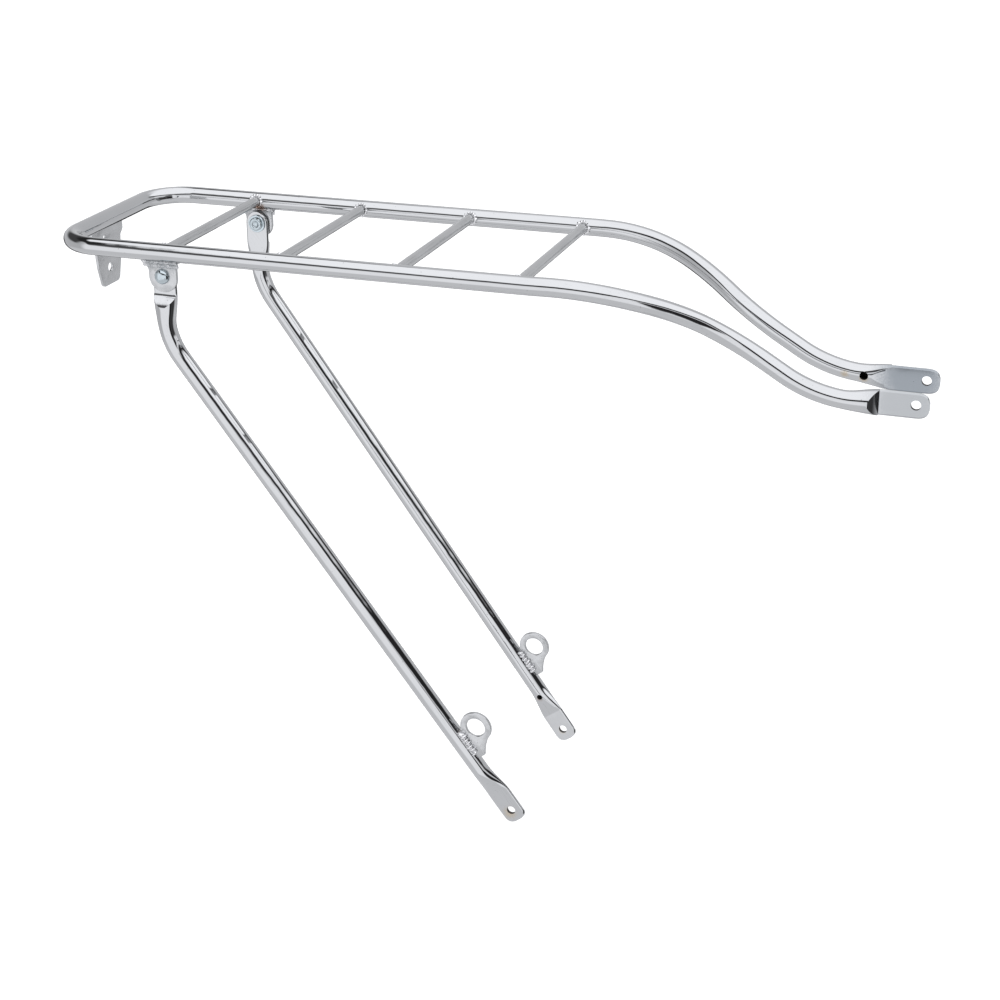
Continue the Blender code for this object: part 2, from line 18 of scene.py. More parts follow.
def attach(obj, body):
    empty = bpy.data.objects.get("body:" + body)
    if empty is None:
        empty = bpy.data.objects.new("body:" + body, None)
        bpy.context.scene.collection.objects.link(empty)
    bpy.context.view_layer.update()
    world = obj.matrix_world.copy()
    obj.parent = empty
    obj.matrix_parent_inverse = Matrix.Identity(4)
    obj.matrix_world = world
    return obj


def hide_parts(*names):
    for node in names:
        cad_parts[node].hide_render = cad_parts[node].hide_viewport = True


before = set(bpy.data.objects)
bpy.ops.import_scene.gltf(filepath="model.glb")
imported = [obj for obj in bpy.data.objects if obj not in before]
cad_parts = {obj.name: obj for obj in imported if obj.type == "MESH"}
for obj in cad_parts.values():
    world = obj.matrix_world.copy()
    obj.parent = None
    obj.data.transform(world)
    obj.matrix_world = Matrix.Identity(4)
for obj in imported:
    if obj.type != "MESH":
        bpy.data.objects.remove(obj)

LOG = logging.getLogger("rear_rack")
MM = 0.001
ORIGIN = Vector((573.0, 0.0, -69.2))
UP = Vector((0.0, 0.0, 1.0))
Point2 = tuple[float, float]
Edges = tuple[float, float, float, float]
Colour = tuple[float, float, float]


class Side(Enum):
    """The two sides of the rack, with the sign of their y."""

    LEFT = 1.0
    RIGHT = -1.0

    @property
    def word(self) -> str:
        """The side's name in lower case."""
        return self.name.lower()


class Grain(Enum):
    """Which way the fine lines of a finish run, as the turn that brings them to x."""

    ALONG_X = (0.0, 0.0, 0.0)
    ALONG_Y = (0.0, 0.0, math.radians(90.0))
    ALONG_LEG = (0.0, math.radians(-54.0), 0.0)
    ALONG_Z = (0.0, math.radians(90.0), 0.0)


# ------------------------------------------------------------------ small helpers

def in_frame(point: Sequence[float]) -> Vector:
    """Turn a rack station into a point of the shared frame.

    Args:
        point: x, y and z in millimetres.

    Returns:
        The same point in metres.
    """
    return (Vector(point) - ORIGIN) * MM


def eased(value: float, start: float, end: float) -> float:
    """Run smoothly from 0 before start to 1 after end.

    Args:
        value: Where to read the run.
        start: Last value that gives 0.
        end: First value that gives 1.

    Returns:
        A share from 0 to 1.
    """
    share = min(max((value - start) / (end - start), 0.0), 1.0)
    return share * share * (3.0 - 2.0 * share)


def ramp(value: float, start: float, end: float) -> float:
    """Run evenly from 0 before start to 1 after end."""
    return min(max((value - start) / (end - start), 0.0), 1.0)


def mix(first: float, second: float, share: float) -> float:
    """Blend two numbers."""
    return first + (second - first) * share


def steps(start: float, end: float, pitch: float) -> list[float]:
    """Evenly spaced numbers from start to end, about one pitch apart.

    Args:
        start: First number.
        end: Last number.
        pitch: Wished distance between neighbours.

    Returns:
        The numbers, both ends included.
    """
    count = max(int(math.ceil(abs(end - start) / pitch)), 1)
    return [start + (end - start) * k / count for k in range(count + 1)]


def skin(bm: bmesh.types.BMesh, rings: Sequence[Sequence[Vector]], slot: int = 0,
         inward: bool = False) -> None:
    """Close a shell over rings of equal count, with flat ends.

    Args:
        bm: Mesh that takes the faces.
        rings: Points of each ring, in order.
        slot: Material slot of the faces.
        inward: True turns the faces towards the inside, for the wall of a bore.
    """
    count = len(rings[0])
    rows = [[bm.verts.new(point) for point in ring] for ring in rings]
    faces = [bm.faces.new(rows[0]), bm.faces.new(rows[-1])]
    for row, following in zip(rows, rows[1:]):
        for k in range(count):
            j = (k + 1) % count
            faces.append(bm.faces.new((row[k], row[j], following[j], following[k])))
    bmesh.ops.recalc_face_normals(bm, faces=faces)
    if inward:
        bmesh.ops.reverse_faces(bm, faces=faces)
    for face in faces:
        face.material_index = slot


def turned(bm: bmesh.types.BMesh, centre: Sequence[float], axis: Sequence[float],
           profile: Sequence[Point2], sides: int = 64) -> None:
    """Turn a profile round an axis.

    Args:
        bm: Mesh that takes the faces.
        centre: Point on the axis where distances count from.
        axis: Direction of the axis.
        profile: Pairs of distance along the axis and radius.
        sides: Number of faces round the axis.
    """
    along = Vector(axis).normalized()
    across = along.orthogonal().normalized()
    up = along.cross(across)
    rings = []
    for distance, radius in profile:
        middle = Vector(centre) + along * distance
        rings.append([middle + (across * math.cos(t) + up * math.sin(t)) * radius
                      for t in (math.tau * k / sides for k in range(sides))])
    skin(bm, rings)


def add_piece(name: str, bm: bmesh.types.BMesh, materials: Iterable[bpy.types.Material],
              smooth_angle: float = 30.0) -> bpy.types.Object:
    """Make an object from a mesh in rack stations.

    Args:
        name: Name of the piece.
        bm: Its mesh, which is freed.
        materials: One material for each slot used.
        smooth_angle: Edges that turn more than this many degrees stay sharp.

    Returns:
        The new object, at the origin.
    """
    for vertex in bm.verts:
        vertex.co = in_frame(vertex.co)
    mesh = bpy.data.meshes.new(name)
    bm.to_mesh(mesh)
    bm.free()
    for material in materials:
        mesh.materials.append(material)
    mesh.shade_smooth()
    mesh.set_sharp_from_angle(angle=math.radians(smooth_angle))
    item = bpy.data.objects.new(name, mesh)
    bpy.context.scene.collection.objects.link(item)
    return item


def settle(item: bpy.types.Object, smooth_angle: float = 30.0) -> bpy.types.Object:
    """Turn an object with modifiers into one with a plain mesh.

    Args:
        item: The object; it keeps its name.
        smooth_angle: Edges that turn more than this many degrees stay sharp.

    Returns:
        The same object.
    """
    graph = bpy.context.evaluated_depsgraph_get()
    mesh = bpy.data.meshes.new_from_object(item.evaluated_get(graph), depsgraph=graph)
    mesh.name = item.name
    item.modifiers.clear()
    item.data = mesh
    mesh.shade_smooth()
    mesh.set_sharp_from_angle(angle=math.radians(smooth_angle))
    return item


def drilled(item: bpy.types.Object, drills: bmesh.types.BMesh,
            smooth_angle: float = 30.0) -> bpy.types.Object:
    """Cut drills out of an object and keep the result as its mesh.

    Args:
        item: The object to cut.
        drills: Closed drill bodies in rack stations, which are freed.
        smooth_angle: Edges that turn more than this many degrees stay sharp.

    Returns:
        The same object with its holes.
    """
    cutter = add_piece(item.name + "_drills", drills, list(item.data.materials)[-1:])
    cut = item.modifiers.new("holes", "BOOLEAN")
    cut.operation = "DIFFERENCE"
    cut.solver = "EXACT"
    cut.object = cutter
    settle(item, smooth_angle)
    bpy.data.objects.remove(cutter, do_unlink=True)
    return item


# ------------------------------------------------------------------ node tree helper

class TreeMaker:
    """Adds, sets and links the nodes of one tree."""

    def __init__(self, tree: bpy.types.NodeTree) -> None:
        """Keep the tree that the nodes go in."""
        self.tree = tree

    def add(self, kind: str, values: dict[str, object] | None = None,
            **settings: object) -> bpy.types.Node:
        """Add a node.

        Args:
            kind: The node's type name.
            values: Input values by socket name; an output socket is linked instead.
            settings: Properties of the node.

        Returns:
            The node.
        """
        node = self.tree.nodes.new(kind)
        for key, value in settings.items():
            setattr(node, key, value)
        for key, value in (values or {}).items():
            socket = node.inputs[key]
            if isinstance(value, bpy.types.NodeSocket):
                self.tree.links.new(value, socket)
            else:
                socket.default_value = value
        return node

    def link(self, source: bpy.types.NodeSocket, target: bpy.types.NodeSocket) -> None:
        """Join an output to an input."""
        self.tree.links.new(source, target)

    def math(self, operation: str, *values: object) -> bpy.types.NodeSocket:
        """Add a Math node.

        Args:
            operation: Its operation.
            values: Numbers or output sockets, in order.

        Returns:
            Its output.
        """
        node = self.tree.nodes.new("ShaderNodeMath")
        node.operation = operation
        for socket, value in zip(node.inputs, values):
            if isinstance(value, bpy.types.NodeSocket):
                self.tree.links.new(value, socket)
            else:
                socket.default_value = value
        return node.outputs[0]


    def smooth(self, value: bpy.types.NodeSocket, start: float, end: float) -> bpy.types.NodeSocket:
        """Run smoothly from 0 at start to 1 at end; start may be the larger.

        Args:
            value: Socket to read.
            start: Value that gives 0.
            end: Value that gives 1.

        Returns:
            A share from 0 to 1.
        """
        node = self.add("ShaderNodeMapRange", {"Value": value}, interpolation_type="SMOOTHSTEP")
        low, high = min(start, end), max(start, end)
        node.inputs["From Min"].default_value = low
        node.inputs["From Max"].default_value = high
        node.inputs["To Min"].default_value = 0.0 if start < end else 1.0
        node.inputs["To Max"].default_value = 1.0 if start < end else 0.0
        return node.outputs[0]

    def window(self, value: bpy.types.NodeSocket, edges: Edges) -> bpy.types.NodeSocket:
        """Give 1 between the two middle edges, fading to 0 at the outer ones."""
        clear_low, full_low, full_high, clear_high = edges
        return self.math("MULTIPLY", self.smooth(value, clear_low, full_low),
                         self.smooth(value, clear_high, full_high))

    def mixed(self, first: object, second: object, share: bpy.types.NodeSocket) -> bpy.types.NodeSocket:
        """Blend two numbers or sockets by a share."""
        node = self.tree.nodes.new("ShaderNodeMix")
        node.data_type = "FLOAT"
        for slot, value in ((0, share), (2, first), (3, second)):
            if isinstance(value, bpy.types.NodeSocket):
                self.tree.links.new(value, node.inputs[slot])
            else:
                node.inputs[slot].default_value = value
        return node.outputs[0]


def new_group(name: str, kind: str, inputs: dict[str, tuple[str, object]],
              outputs: dict[str, str]) -> tuple[TreeMaker, dict, dict]:
    """Start a node group with named sockets.

    Args:
        name: Name of the group.
        kind: Type of the tree.
        inputs: Socket type and default for each input name; None leaves the default.
        outputs: Socket type for each output name.

    Returns:
        The tree maker, the group's inputs by name, and its output sockets by name.
    """
    tree = bpy.data.node_groups.new(name, kind)
    for label, (socket_type, default) in inputs.items():
        socket = tree.interface.new_socket(label, in_out="INPUT", socket_type=socket_type)
        if default is not None:
            socket.default_value = default
    for label, socket_type in outputs.items():
        tree.interface.new_socket(label, in_out="OUTPUT", socket_type=socket_type)
    maker = TreeMaker(tree)
    source = maker.add("NodeGroupInput")
    sink = maker.add("NodeGroupOutput")
    return maker, {k: source.outputs[k] for k in inputs}, {k: sink.inputs[k] for k in outputs}


# ------------------------------------------------------------------ shader groups

def streak_group() -> bpy.types.NodeTree:
    """Fine drawn lines and hairline scratches, for every metal.

    Returns:
        A group with inputs Vector, Fineness, Stretch and Amount, and outputs
        Mask (where a line shows) and Height.
    """
    maker, given, out = new_group(
        "fine_lines", "ShaderNodeTree",
        {"Vector": ("NodeSocketVector", None), "Fineness": ("NodeSocketFloat", 1200.0),
         "Stretch": ("NodeSocketFloat", 0.02), "Amount": ("NodeSocketFloat", 0.5)},
        {"Mask": "NodeSocketFloat", "Height": "NodeSocketFloat"})
    squeeze = maker.add("ShaderNodeCombineXYZ", {"X": given["Stretch"], "Y": 1.0, "Z": 1.0})
    place = maker.add("ShaderNodeVectorMath", {0: given["Vector"], 1: squeeze.outputs[0]},
                      operation="MULTIPLY")
    lines = maker.add("ShaderNodeTexNoise",
                      {"Vector": place.outputs[0], "Scale": given["Fineness"], "Detail": 3.0,
                       "Roughness": 0.6})
    patches = maker.add("ShaderNodeTexNoise",
                        {"Vector": given["Vector"], "Scale": 55.0, "Detail": 2.0})
    sharp = maker.math("SMOOTH_MIN", maker.math("MULTIPLY", maker.math(
        "SUBTRACT", lines.outputs[0], 0.56), 9.0), 1.0, 0.1)
    spread = maker.math("MULTIPLY", maker.math("MAXIMUM", sharp, 0.0), patches.outputs[0])
    mask = maker.math("MULTIPLY", spread, given["Amount"])
    maker.link(mask, out["Mask"])
    maker.link(maker.math("MULTIPLY", lines.outputs[0], given["Amount"]), out["Height"])
    return maker.tree


def ripple_group() -> bpy.types.NodeTree:
    """The slow unevenness of polished plate, which bends what it mirrors.

    Returns:
        A group with inputs Vector, Length and Depth, and outputs Height and Shade.
    """
    maker, given, out = new_group(
        "plate_ripple", "ShaderNodeTree",
        {"Vector": ("NodeSocketVector", None), "Length": ("NodeSocketFloat", 40.0),
         "Depth": ("NodeSocketFloat", 1.0)},
        {"Height": "NodeSocketFloat", "Shade": "NodeSocketFloat"})
    slow = maker.add("ShaderNodeTexNoise", {"Vector": given["Vector"], "Scale": given["Length"],
                                            "Detail": 1.5, "Roughness": 0.45})
    maker.link(maker.math("MULTIPLY", slow.outputs[0], given["Depth"]), out["Height"])
    maker.link(slow.outputs[0], out["Shade"])
    return maker.tree


def speck_group() -> bpy.types.NodeTree:
    """Dust and pinholes in the plate.

    Returns:
        A group with inputs Vector, Fineness and Share, and output Mask.
    """
    maker, given, out = new_group(
        "dust_specks", "ShaderNodeTree",
        {"Vector": ("NodeSocketVector", None), "Fineness": ("NodeSocketFloat", 900.0),
         "Share": ("NodeSocketFloat", 0.1)},
        {"Mask": "NodeSocketFloat"})
    cells = maker.add("ShaderNodeTexVoronoi", {"Vector": given["Vector"], "Scale": given["Fineness"]},
                      feature="F1")
    lot = maker.add("ShaderNodeSeparateColor", {"Color": cells.outputs["Color"]})
    chosen = maker.math("LESS_THAN", lot.outputs[0], given["Share"])
    near = maker.math("LESS_THAN", cells.outputs["Distance"], 0.32)
    maker.link(maker.math("MULTIPLY", chosen, near), out["Mask"])
    return maker.tree


def stain_group() -> bpy.types.NodeTree:
    """One stain with a broken edge: heat tint, rust or bare metal.

    Returns:
        A group with inputs Vector, Centre, Reach, Strength and Breakup, and output Mask.
    """
    maker, given, out = new_group(
        "stain_spot", "ShaderNodeTree",
        {"Vector": ("NodeSocketVector", None), "Centre": ("NodeSocketVector", None),
         "Reach": ("NodeSocketFloat", 0.003), "Strength": ("NodeSocketFloat", 1.0),
         "Breakup": ("NodeSocketFloat", 0.9)},
        {"Mask": "NodeSocketFloat"})
    away = maker.add("ShaderNodeVectorMath", {0: given["Vector"], 1: given["Centre"]},
                     operation="DISTANCE")
    share = maker.math("DIVIDE", away.outputs["Value"], given["Reach"])
    broken = maker.add("ShaderNodeTexNoise", {"Vector": given["Vector"], "Scale": 900.0,
                                              "Detail": 3.0, "Roughness": 0.65})
    edge = maker.math("ADD", share, maker.math("MULTIPLY", broken.outputs[0], given["Breakup"]))
    fade = maker.add("ShaderNodeMapRange", {"Value": edge, "From Min": 1.25, "From Max": 0.55,
                                            "To Min": 0.0, "To Max": 1.0},
                     interpolation_type="SMOOTHSTEP")
    maker.link(maker.math("MULTIPLY", fade.outputs[0], given["Strength"]), out["Mask"])
    return maker.tree


GROUPS = {"streak": streak_group(), "ripple": ripple_group(), "speck": speck_group(),
          "stain": stain_group()}


# ------------------------------------------------------------------ finishes

@dataclass(frozen=True)
class Stain:
    """A local stain on a finish, with its centre in rack stations."""

    centre: tuple[float, float, float]
    reach: float
    colour: Colour
    strength: float = 0.9
    roughness: float = 0.5
    breakup: float = 0.9


RUST = (0.22, 0.10, 0.045)
STRAW = (0.55, 0.42, 0.24)
BURN = (0.035, 0.022, 0.018)
WORN = (0.37, 0.385, 0.395)
DULL = (0.25, 0.275, 0.30)


@dataclass(frozen=True)
class MetalFinish:
    """One plated metal finish and the marks it carries."""

    name: str
    colour: Colour
    roughness: float
    grain: Grain = Grain.ALONG_X
    shade: float = 0.06
    line_fineness: float = 1300.0
    line_stretch: float = 0.015
    line_amount: float = 0.4
    line_height: float = 0.00002
    ripple_length: float = 45.0
    ripple_height: float = 0.0
    specks: float = 0.03
    speck_colour: Colour = (0.30, 0.30, 0.30)
    stains: tuple[Stain, ...] = field(default_factory=tuple)

    def material(self) -> bpy.types.Material:
        """Build the finish as a node material.

        Returns:
            The material.
        """
        material = bpy.data.materials.new(self.name)
        material.use_nodes = True
        maker = TreeMaker(material.node_tree)
        shader = maker.tree.nodes["Principled BSDF"]
        shader.inputs["Metallic"].default_value = 1.0
        space = maker.add("ShaderNodeTexCoord").outputs["Object"]
        turn = maker.add("ShaderNodeMapping", {"Vector": space, "Rotation": self.grain.value})
        line = self.placed(maker, "streak", Vector=turn.outputs[0], Fineness=self.line_fineness,
                           Stretch=self.line_stretch, Amount=self.line_amount)
        slow = self.placed(maker, "ripple", Vector=turn.outputs[0], Length=self.ripple_length,
                           Depth=1.0)
        dust = self.placed(maker, "speck", Vector=space, Fineness=1100.0, Share=self.specks)
        tone = maker.math("ADD", 1.0 - self.shade, maker.math(
            "MULTIPLY", slow.outputs["Shade"], self.shade * 2.0))
        base = maker.add("ShaderNodeVectorMath", {0: self.colour}, operation="SCALE")
        maker.link(maker.math("SUBTRACT", tone, maker.math(
            "MULTIPLY", line.outputs["Mask"], 0.35)), base.inputs["Scale"])
        colour = self.mixed(maker, base.outputs[0], self.speck_colour, dust.outputs[0])
        rough = maker.math("ADD", self.roughness, maker.math(
            "MULTIPLY", line.outputs["Mask"], 0.25))
        rough = maker.math("ADD", rough, maker.math("MULTIPLY", dust.outputs[0], 0.3))
        for stain in self.stains:
            spot = self.placed(maker, "stain", Vector=space, Centre=in_frame(stain.centre),
                               Reach=stain.reach * MM, Strength=stain.strength,
                               Breakup=stain.breakup)
            colour = self.mixed(maker, colour, stain.colour, spot.outputs[0])
            rough = maker.math("ADD", rough, maker.math("MULTIPLY", spot.outputs[0], stain.roughness))
        maker.link(colour, shader.inputs["Base Color"])
        maker.link(rough, shader.inputs["Roughness"])
        height = maker.math("ADD", maker.math("MULTIPLY", line.outputs["Height"], self.line_height),
                            maker.math("MULTIPLY", slow.outputs["Height"], self.ripple_height))
        bump = maker.add("ShaderNodeBump", {"Height": height, "Distance": 1.0, "Strength": 1.0})
        maker.link(bump.outputs[0], shader.inputs["Normal"])
        material.diffuse_color = (*self.colour, 1.0)
        return material

    @staticmethod
    def placed(maker: TreeMaker, group: str, **values: object) -> bpy.types.Node:
        """Place one of the shader groups with its own values.

        Args:
            maker: Tree that takes it.
            group: Key of the group.
            values: Input values by socket name.

        Returns:
            The group node.
        """
        node = maker.tree.nodes.new("ShaderNodeGroup")
        node.node_tree = GROUPS[group]
        for key, value in values.items():
            if isinstance(value, bpy.types.NodeSocket):
                maker.link(value, node.inputs[key])
            else:
                node.inputs[key].default_value = value
        return node

    @staticmethod
    def mixed(maker: TreeMaker, under: bpy.types.NodeSocket, over: Colour,
              mask: bpy.types.NodeSocket) -> bpy.types.NodeSocket:
        """Lay one colour over another where a mask says.

        Args:
            maker: Tree that takes the node.
            under: Colour below.
            over: Colour laid on it.
            mask: Where it shows.

        Returns:
            The mixed colour.
        """
        node = maker.tree.nodes.new("ShaderNodeMix")
        node.data_type = "RGBA"
        maker.link(mask, node.inputs[0])
        maker.link(under, node.inputs[6])
        node.inputs[7].default_value = (*over, 1.0)
        return node.outputs[2]


PIVOT = (79.8, 72.9, -16.3)
FOOT = (317.9, 62.8, -390.2)
ROD_ONE_X = 80.8
WELD_BURN = Stain((82.6, 67.6, -5.5), 9.0, RUST, 0.95)
LUG_MOTTLE = tuple(Stain((x, 74.0 * side, -7.0), 8.5, WORN, 0.85, 0.2, 0.8)
                   for side in (-1.0, 1.0) for x in (72.0, 80.0, 88.0))

TUBE_CHROME = MetalFinish(
    "tube_chrome", (0.55, 0.556, 0.563), 0.035, Grain.ALONG_X, shade=0.03, line_amount=0.3,
    ripple_height=0.0002, specks=0.006,
    stains=(WELD_BURN, Stain((81.5, 67.9, 2.5), 3.2, RUST, 0.8),
            Stain((520.5, 21.4, -69.6), 4.6, STRAW, 0.5), Stain((533.0, 21.2, -71.5), 5.0, STRAW, 0.6),
            Stain((567.0, -26.0, -69.2), 30.0, WORN, 0.75, 0.16, 0.4),
            Stain((564.0, 22.6, -69.2), 29.0, DULL, 0.9, 0.14, 0.4)))
LEG_CHROME = MetalFinish(
    "leg_chrome", (0.55, 0.556, 0.563), 0.035, Grain.ALONG_LEG, shade=0.04, line_amount=0.35,
    ripple_height=0.00025, specks=0.006,
    stains=(Stain((317.0, -63.2, -392.5), 8.5, STRAW, 0.55), Stain((317.5, 60.4, -391.5), 5.5, STRAW, 0.4),
            Stain((299.5, 59.4, -366.3), 4.4, RUST, 0.7), Stain((283.0, -67.0, -330.0), 4.0, RUST, 0.6)))
ROD_CHROME = MetalFinish(
    "rod_chrome", (0.54, 0.546, 0.55), 0.13, Grain.ALONG_Y, shade=0.10, line_amount=1.1,
    line_height=0.00012, specks=0.02, stains=(Stain((82.4, 66.0, -3.0), 3.5, BURN, 0.9),))
PLATE_CHROME = MetalFinish(
    "plate_chrome", (0.54, 0.546, 0.552), 0.24, Grain.ALONG_Z, shade=0.10, line_fineness=900.0,
    line_stretch=0.6, line_amount=0.5, line_height=0.00005, ripple_length=160.0,
    ripple_height=0.0004, specks=0.04, stains=(WELD_BURN, *LUG_MOTTLE))
WELD_CHROME = MetalFinish(
    "weld_chrome", (0.76, 0.76, 0.77), 0.05, Grain.ALONG_X, shade=0.15, line_stretch=1.0,
    line_amount=0.2, ripple_length=700.0, ripple_height=0.0001, specks=0.02,
    stains=(WELD_BURN, *LUG_MOTTLE, Stain((82.0, 67.6, 1.0), 3.4, RUST, 0.9),
            Stain((268.5, -65.5, -331.5), 3.6, RUST, 0.75)))
RIVET_ZINC = MetalFinish(
    "rivet_zinc", (0.50, 0.56, 0.59), 0.14, Grain.ALONG_Z, shade=0.12, line_stretch=1.0,
    line_amount=0.5, ripple_length=500.0, ripple_height=0.0001, specks=0.05)
BARE_BORE = MetalFinish(
    "bore_steel", (0.10, 0.095, 0.09), 0.6, Grain.ALONG_X, shade=0.2, specks=0.1,
    speck_colour=RUST)


# ------------------------------------------------------------------ pressed tubes

@dataclass(frozen=True)
class Section:
    """One cross-section of a pressed tube, as levels out from its axis."""

    half_width: float = 6.0
    side_level: float = 0.0
    crown: float = 6.0
    keel: float = -6.0
    ceiling: float = 99.0
    floor: float = -99.0
    narrow: float = 1.0

    def outline(self, facet_points: int = 9, side_points: int = 21) -> list[Point2]:
        """Points round the section, denser at the edges of its flats.

        Args:
            facet_points: Points across the outer flat, and across the inner one.
            side_points: Points down each rounded side.

        Returns:
            Pairs of level and distance across.
        """
        rise, fall = self.crown - self.side_level, self.side_level - self.keel
        outer = self.cut_angle((self.ceiling - self.side_level) / rise)
        inner = self.cut_angle((self.side_level - self.floor) / fall)
        points: list[Point2] = []

        def facet(angle: float, extent: float, level_cap: float, sign: float) -> None:
            for k in range(facet_points):
                across = math.sin(angle) * (2.0 * k / (facet_points - 1) - 1.0) * sign
                level = self.side_level + extent * sign * math.sqrt(1.0 - across * across)
                level = min(level, level_cap) if sign > 0 else max(level, level_cap)
                points.append((level, across))

        def side(start: float, end: float) -> None:
            for k in range(1, side_points + 1):
                angle = start + (end - start) * k / (side_points + 1)
                extent = rise if math.cos(angle) > 0 else fall
                points.append((self.side_level + extent * math.cos(angle), math.sin(angle)))

        facet(outer, rise, self.ceiling, 1.0)
        side(outer, math.pi - inner)
        facet(inner, fall, self.floor, -1.0)
        side(math.pi + inner, math.tau - outer)
        return [(level, across * self.half_width * self.narrow) for level, across in points]

    @staticmethod
    def cut_angle(share: float) -> float:
        """Half-angle of a flat cut at a share of the full height, with a least width."""
        least = math.radians(9.0)
        return max(math.acos(min(max(share, -0.98), 1.0)), least)


@dataclass(frozen=True)
class PressedEnd:
    """A tube end pressed flat by a stepped punch; distances run towards the tip."""

    half_width: float
    half_thick: float
    offset: float
    taper: float
    facet: float
    lip: float
    inner_run: float
    edge_rise: float = 1.3
    hollow: float = 1.5
    ledge: float = 0.3
    punched: bool = True

    def section(self, s: float) -> Section:
        """Section at a distance past the step line.

        Args:
            s: Distance past the step, negative towards the round tube.

        Returns:
            The section there.
        """
        spread = eased(s, -self.taper, 2.0)
        width = mix(6.0, self.half_width, spread)
        level = self.offset * spread
        top, bottom = self.offset + self.half_thick, self.offset - self.half_thick
        keel = mix(-6.0, bottom - self.edge_rise, eased(s, -self.taper, 0.0))
        floor = mix(-6.0, bottom, ramp(s, -self.inner_run, 0.0))
        if not self.punched:
            crown = mix(6.0, top + self.edge_rise, eased(s, -self.taper, 0.0))
            ceiling = mix(6.0, top, eased(s, -self.inner_run, 0.0))
            return Section(width, level, crown, keel, ceiling, floor)
        if s < 0.0:
            ceiling = mix(6.0, top + self.lip, ramp(s, -self.facet, 0.0) ** self.hollow)
            return Section(width, level, 6.0, keel, ceiling, floor)
        crown = mix(6.0, top + self.edge_rise, ramp(s, 0.0, self.ledge))
        ceiling = mix(top + self.lip, top, ramp(s, 0.0, self.ledge))
        return Section(width, level, crown, keel, ceiling, floor)


def tip_share(share: float, power: float = 3.0) -> float:
    """Half-width of a rounded tip, from its root at 0 to its end at 1."""
    return max((1.0 - min(share, 1.0) ** power) ** (1.0 / power), 0.30)


def ring_at(section: Section, centre: Vector, tangent: Vector, outward: Vector) -> list[Vector]:
    """Set a section square to a path.

    Args:
        section: The section.
        centre: Point of the path.
        tangent: Direction of the path there.
        outward: Side that the section's crown faces.

    Returns:
        Points of the ring.
    """
    tangent = tangent.normalized()
    out = (outward - tangent * outward.dot(tangent)).normalized()
    across = tangent.cross(out)
    return [centre + out * a + across * b for a, b in section.outline()]


def bore_ring(radius: float, centre: Vector, tangent: Vector, sides: int = 20) -> list[Vector]:
    """Round ring of the tube's hollow, square to a path."""
    tangent = tangent.normalized()
    out = (UP - tangent * UP.dot(tangent)).normalized() if abs(tangent.z) < 0.95 else Vector((1, 0, 0))
    across = tangent.cross(out)
    return [centre + (out * math.cos(t) + across * math.sin(t)) * radius
            for t in (math.tau * k / sides for k in range(sides))]


# ------------------------------------------------------------------ geometry node trees

def make_pair_tree() -> bpy.types.NodeTree:
    """Tree that repeats a left-hand piece as its mirror image on the right."""
    maker, given, out = new_group(
        "pair_across", "GeometryNodeTree",
        {"Geometry": ("NodeSocketGeometry", None), "Reach": ("NodeSocketVector", (1.0, -1.0, 1.0)),
         "Material": ("NodeSocketMaterial", None)},
        {"Geometry": "NodeSocketGeometry"})
    flipped = maker.add("GeometryNodeTransform", {"Geometry": given["Geometry"], "Scale": given["Reach"]})
    faces = maker.add("GeometryNodeFlipFaces", {"Mesh": flipped.outputs[0]})
    both = maker.add("GeometryNodeJoinGeometry")
    maker.link(faces.outputs[0], both.inputs[0])
    maker.link(given["Geometry"], both.inputs[0])
    end_tree(maker, both.outputs[0], given["Material"], out["Geometry"])
    return maker.tree


def make_rod_tree() -> bpy.types.NodeTree:
    """Tree that lays drawn rods between the rails, one at every pitch."""
    maker, given, out = new_group(
        "rods_between_rails", "GeometryNodeTree",
        {"Geometry": ("NodeSocketGeometry", None), "Count": ("NodeSocketInt", 4),
         "First": ("NodeSocketVector", None), "Pitch": ("NodeSocketFloat", 0.08),
         "Radius": ("NodeSocketFloat", 0.003), "Length": ("NodeSocketFloat", 0.14),
         "Material": ("NodeSocketMaterial", None)},
        {"Geometry": "NodeSocketGeometry"})
    stride = maker.add("ShaderNodeCombineXYZ", {"X": given["Pitch"]})
    line = maker.add("GeometryNodeMeshLine", {"Count": given["Count"], "Start Location": given["First"],
                                              "Offset": stride.outputs[0]})
    rod = maker.add("GeometryNodeMeshCylinder", {"Vertices": 48, "Side Segments": 24,
                                                 "Radius": given["Radius"], "Depth": given["Length"]})
    lie = maker.add("FunctionNodeInputVector", vector=(math.radians(90.0), 0.0, 0.0))
    placed = maker.add("GeometryNodeInstanceOnPoints", {"Points": line.outputs[0],
                                                        "Instance": rod.outputs[0],
                                                        "Rotation": lie.outputs[0]})
    end_tree(maker, placed.outputs[0], given["Material"], out["Geometry"])
    return maker.tree


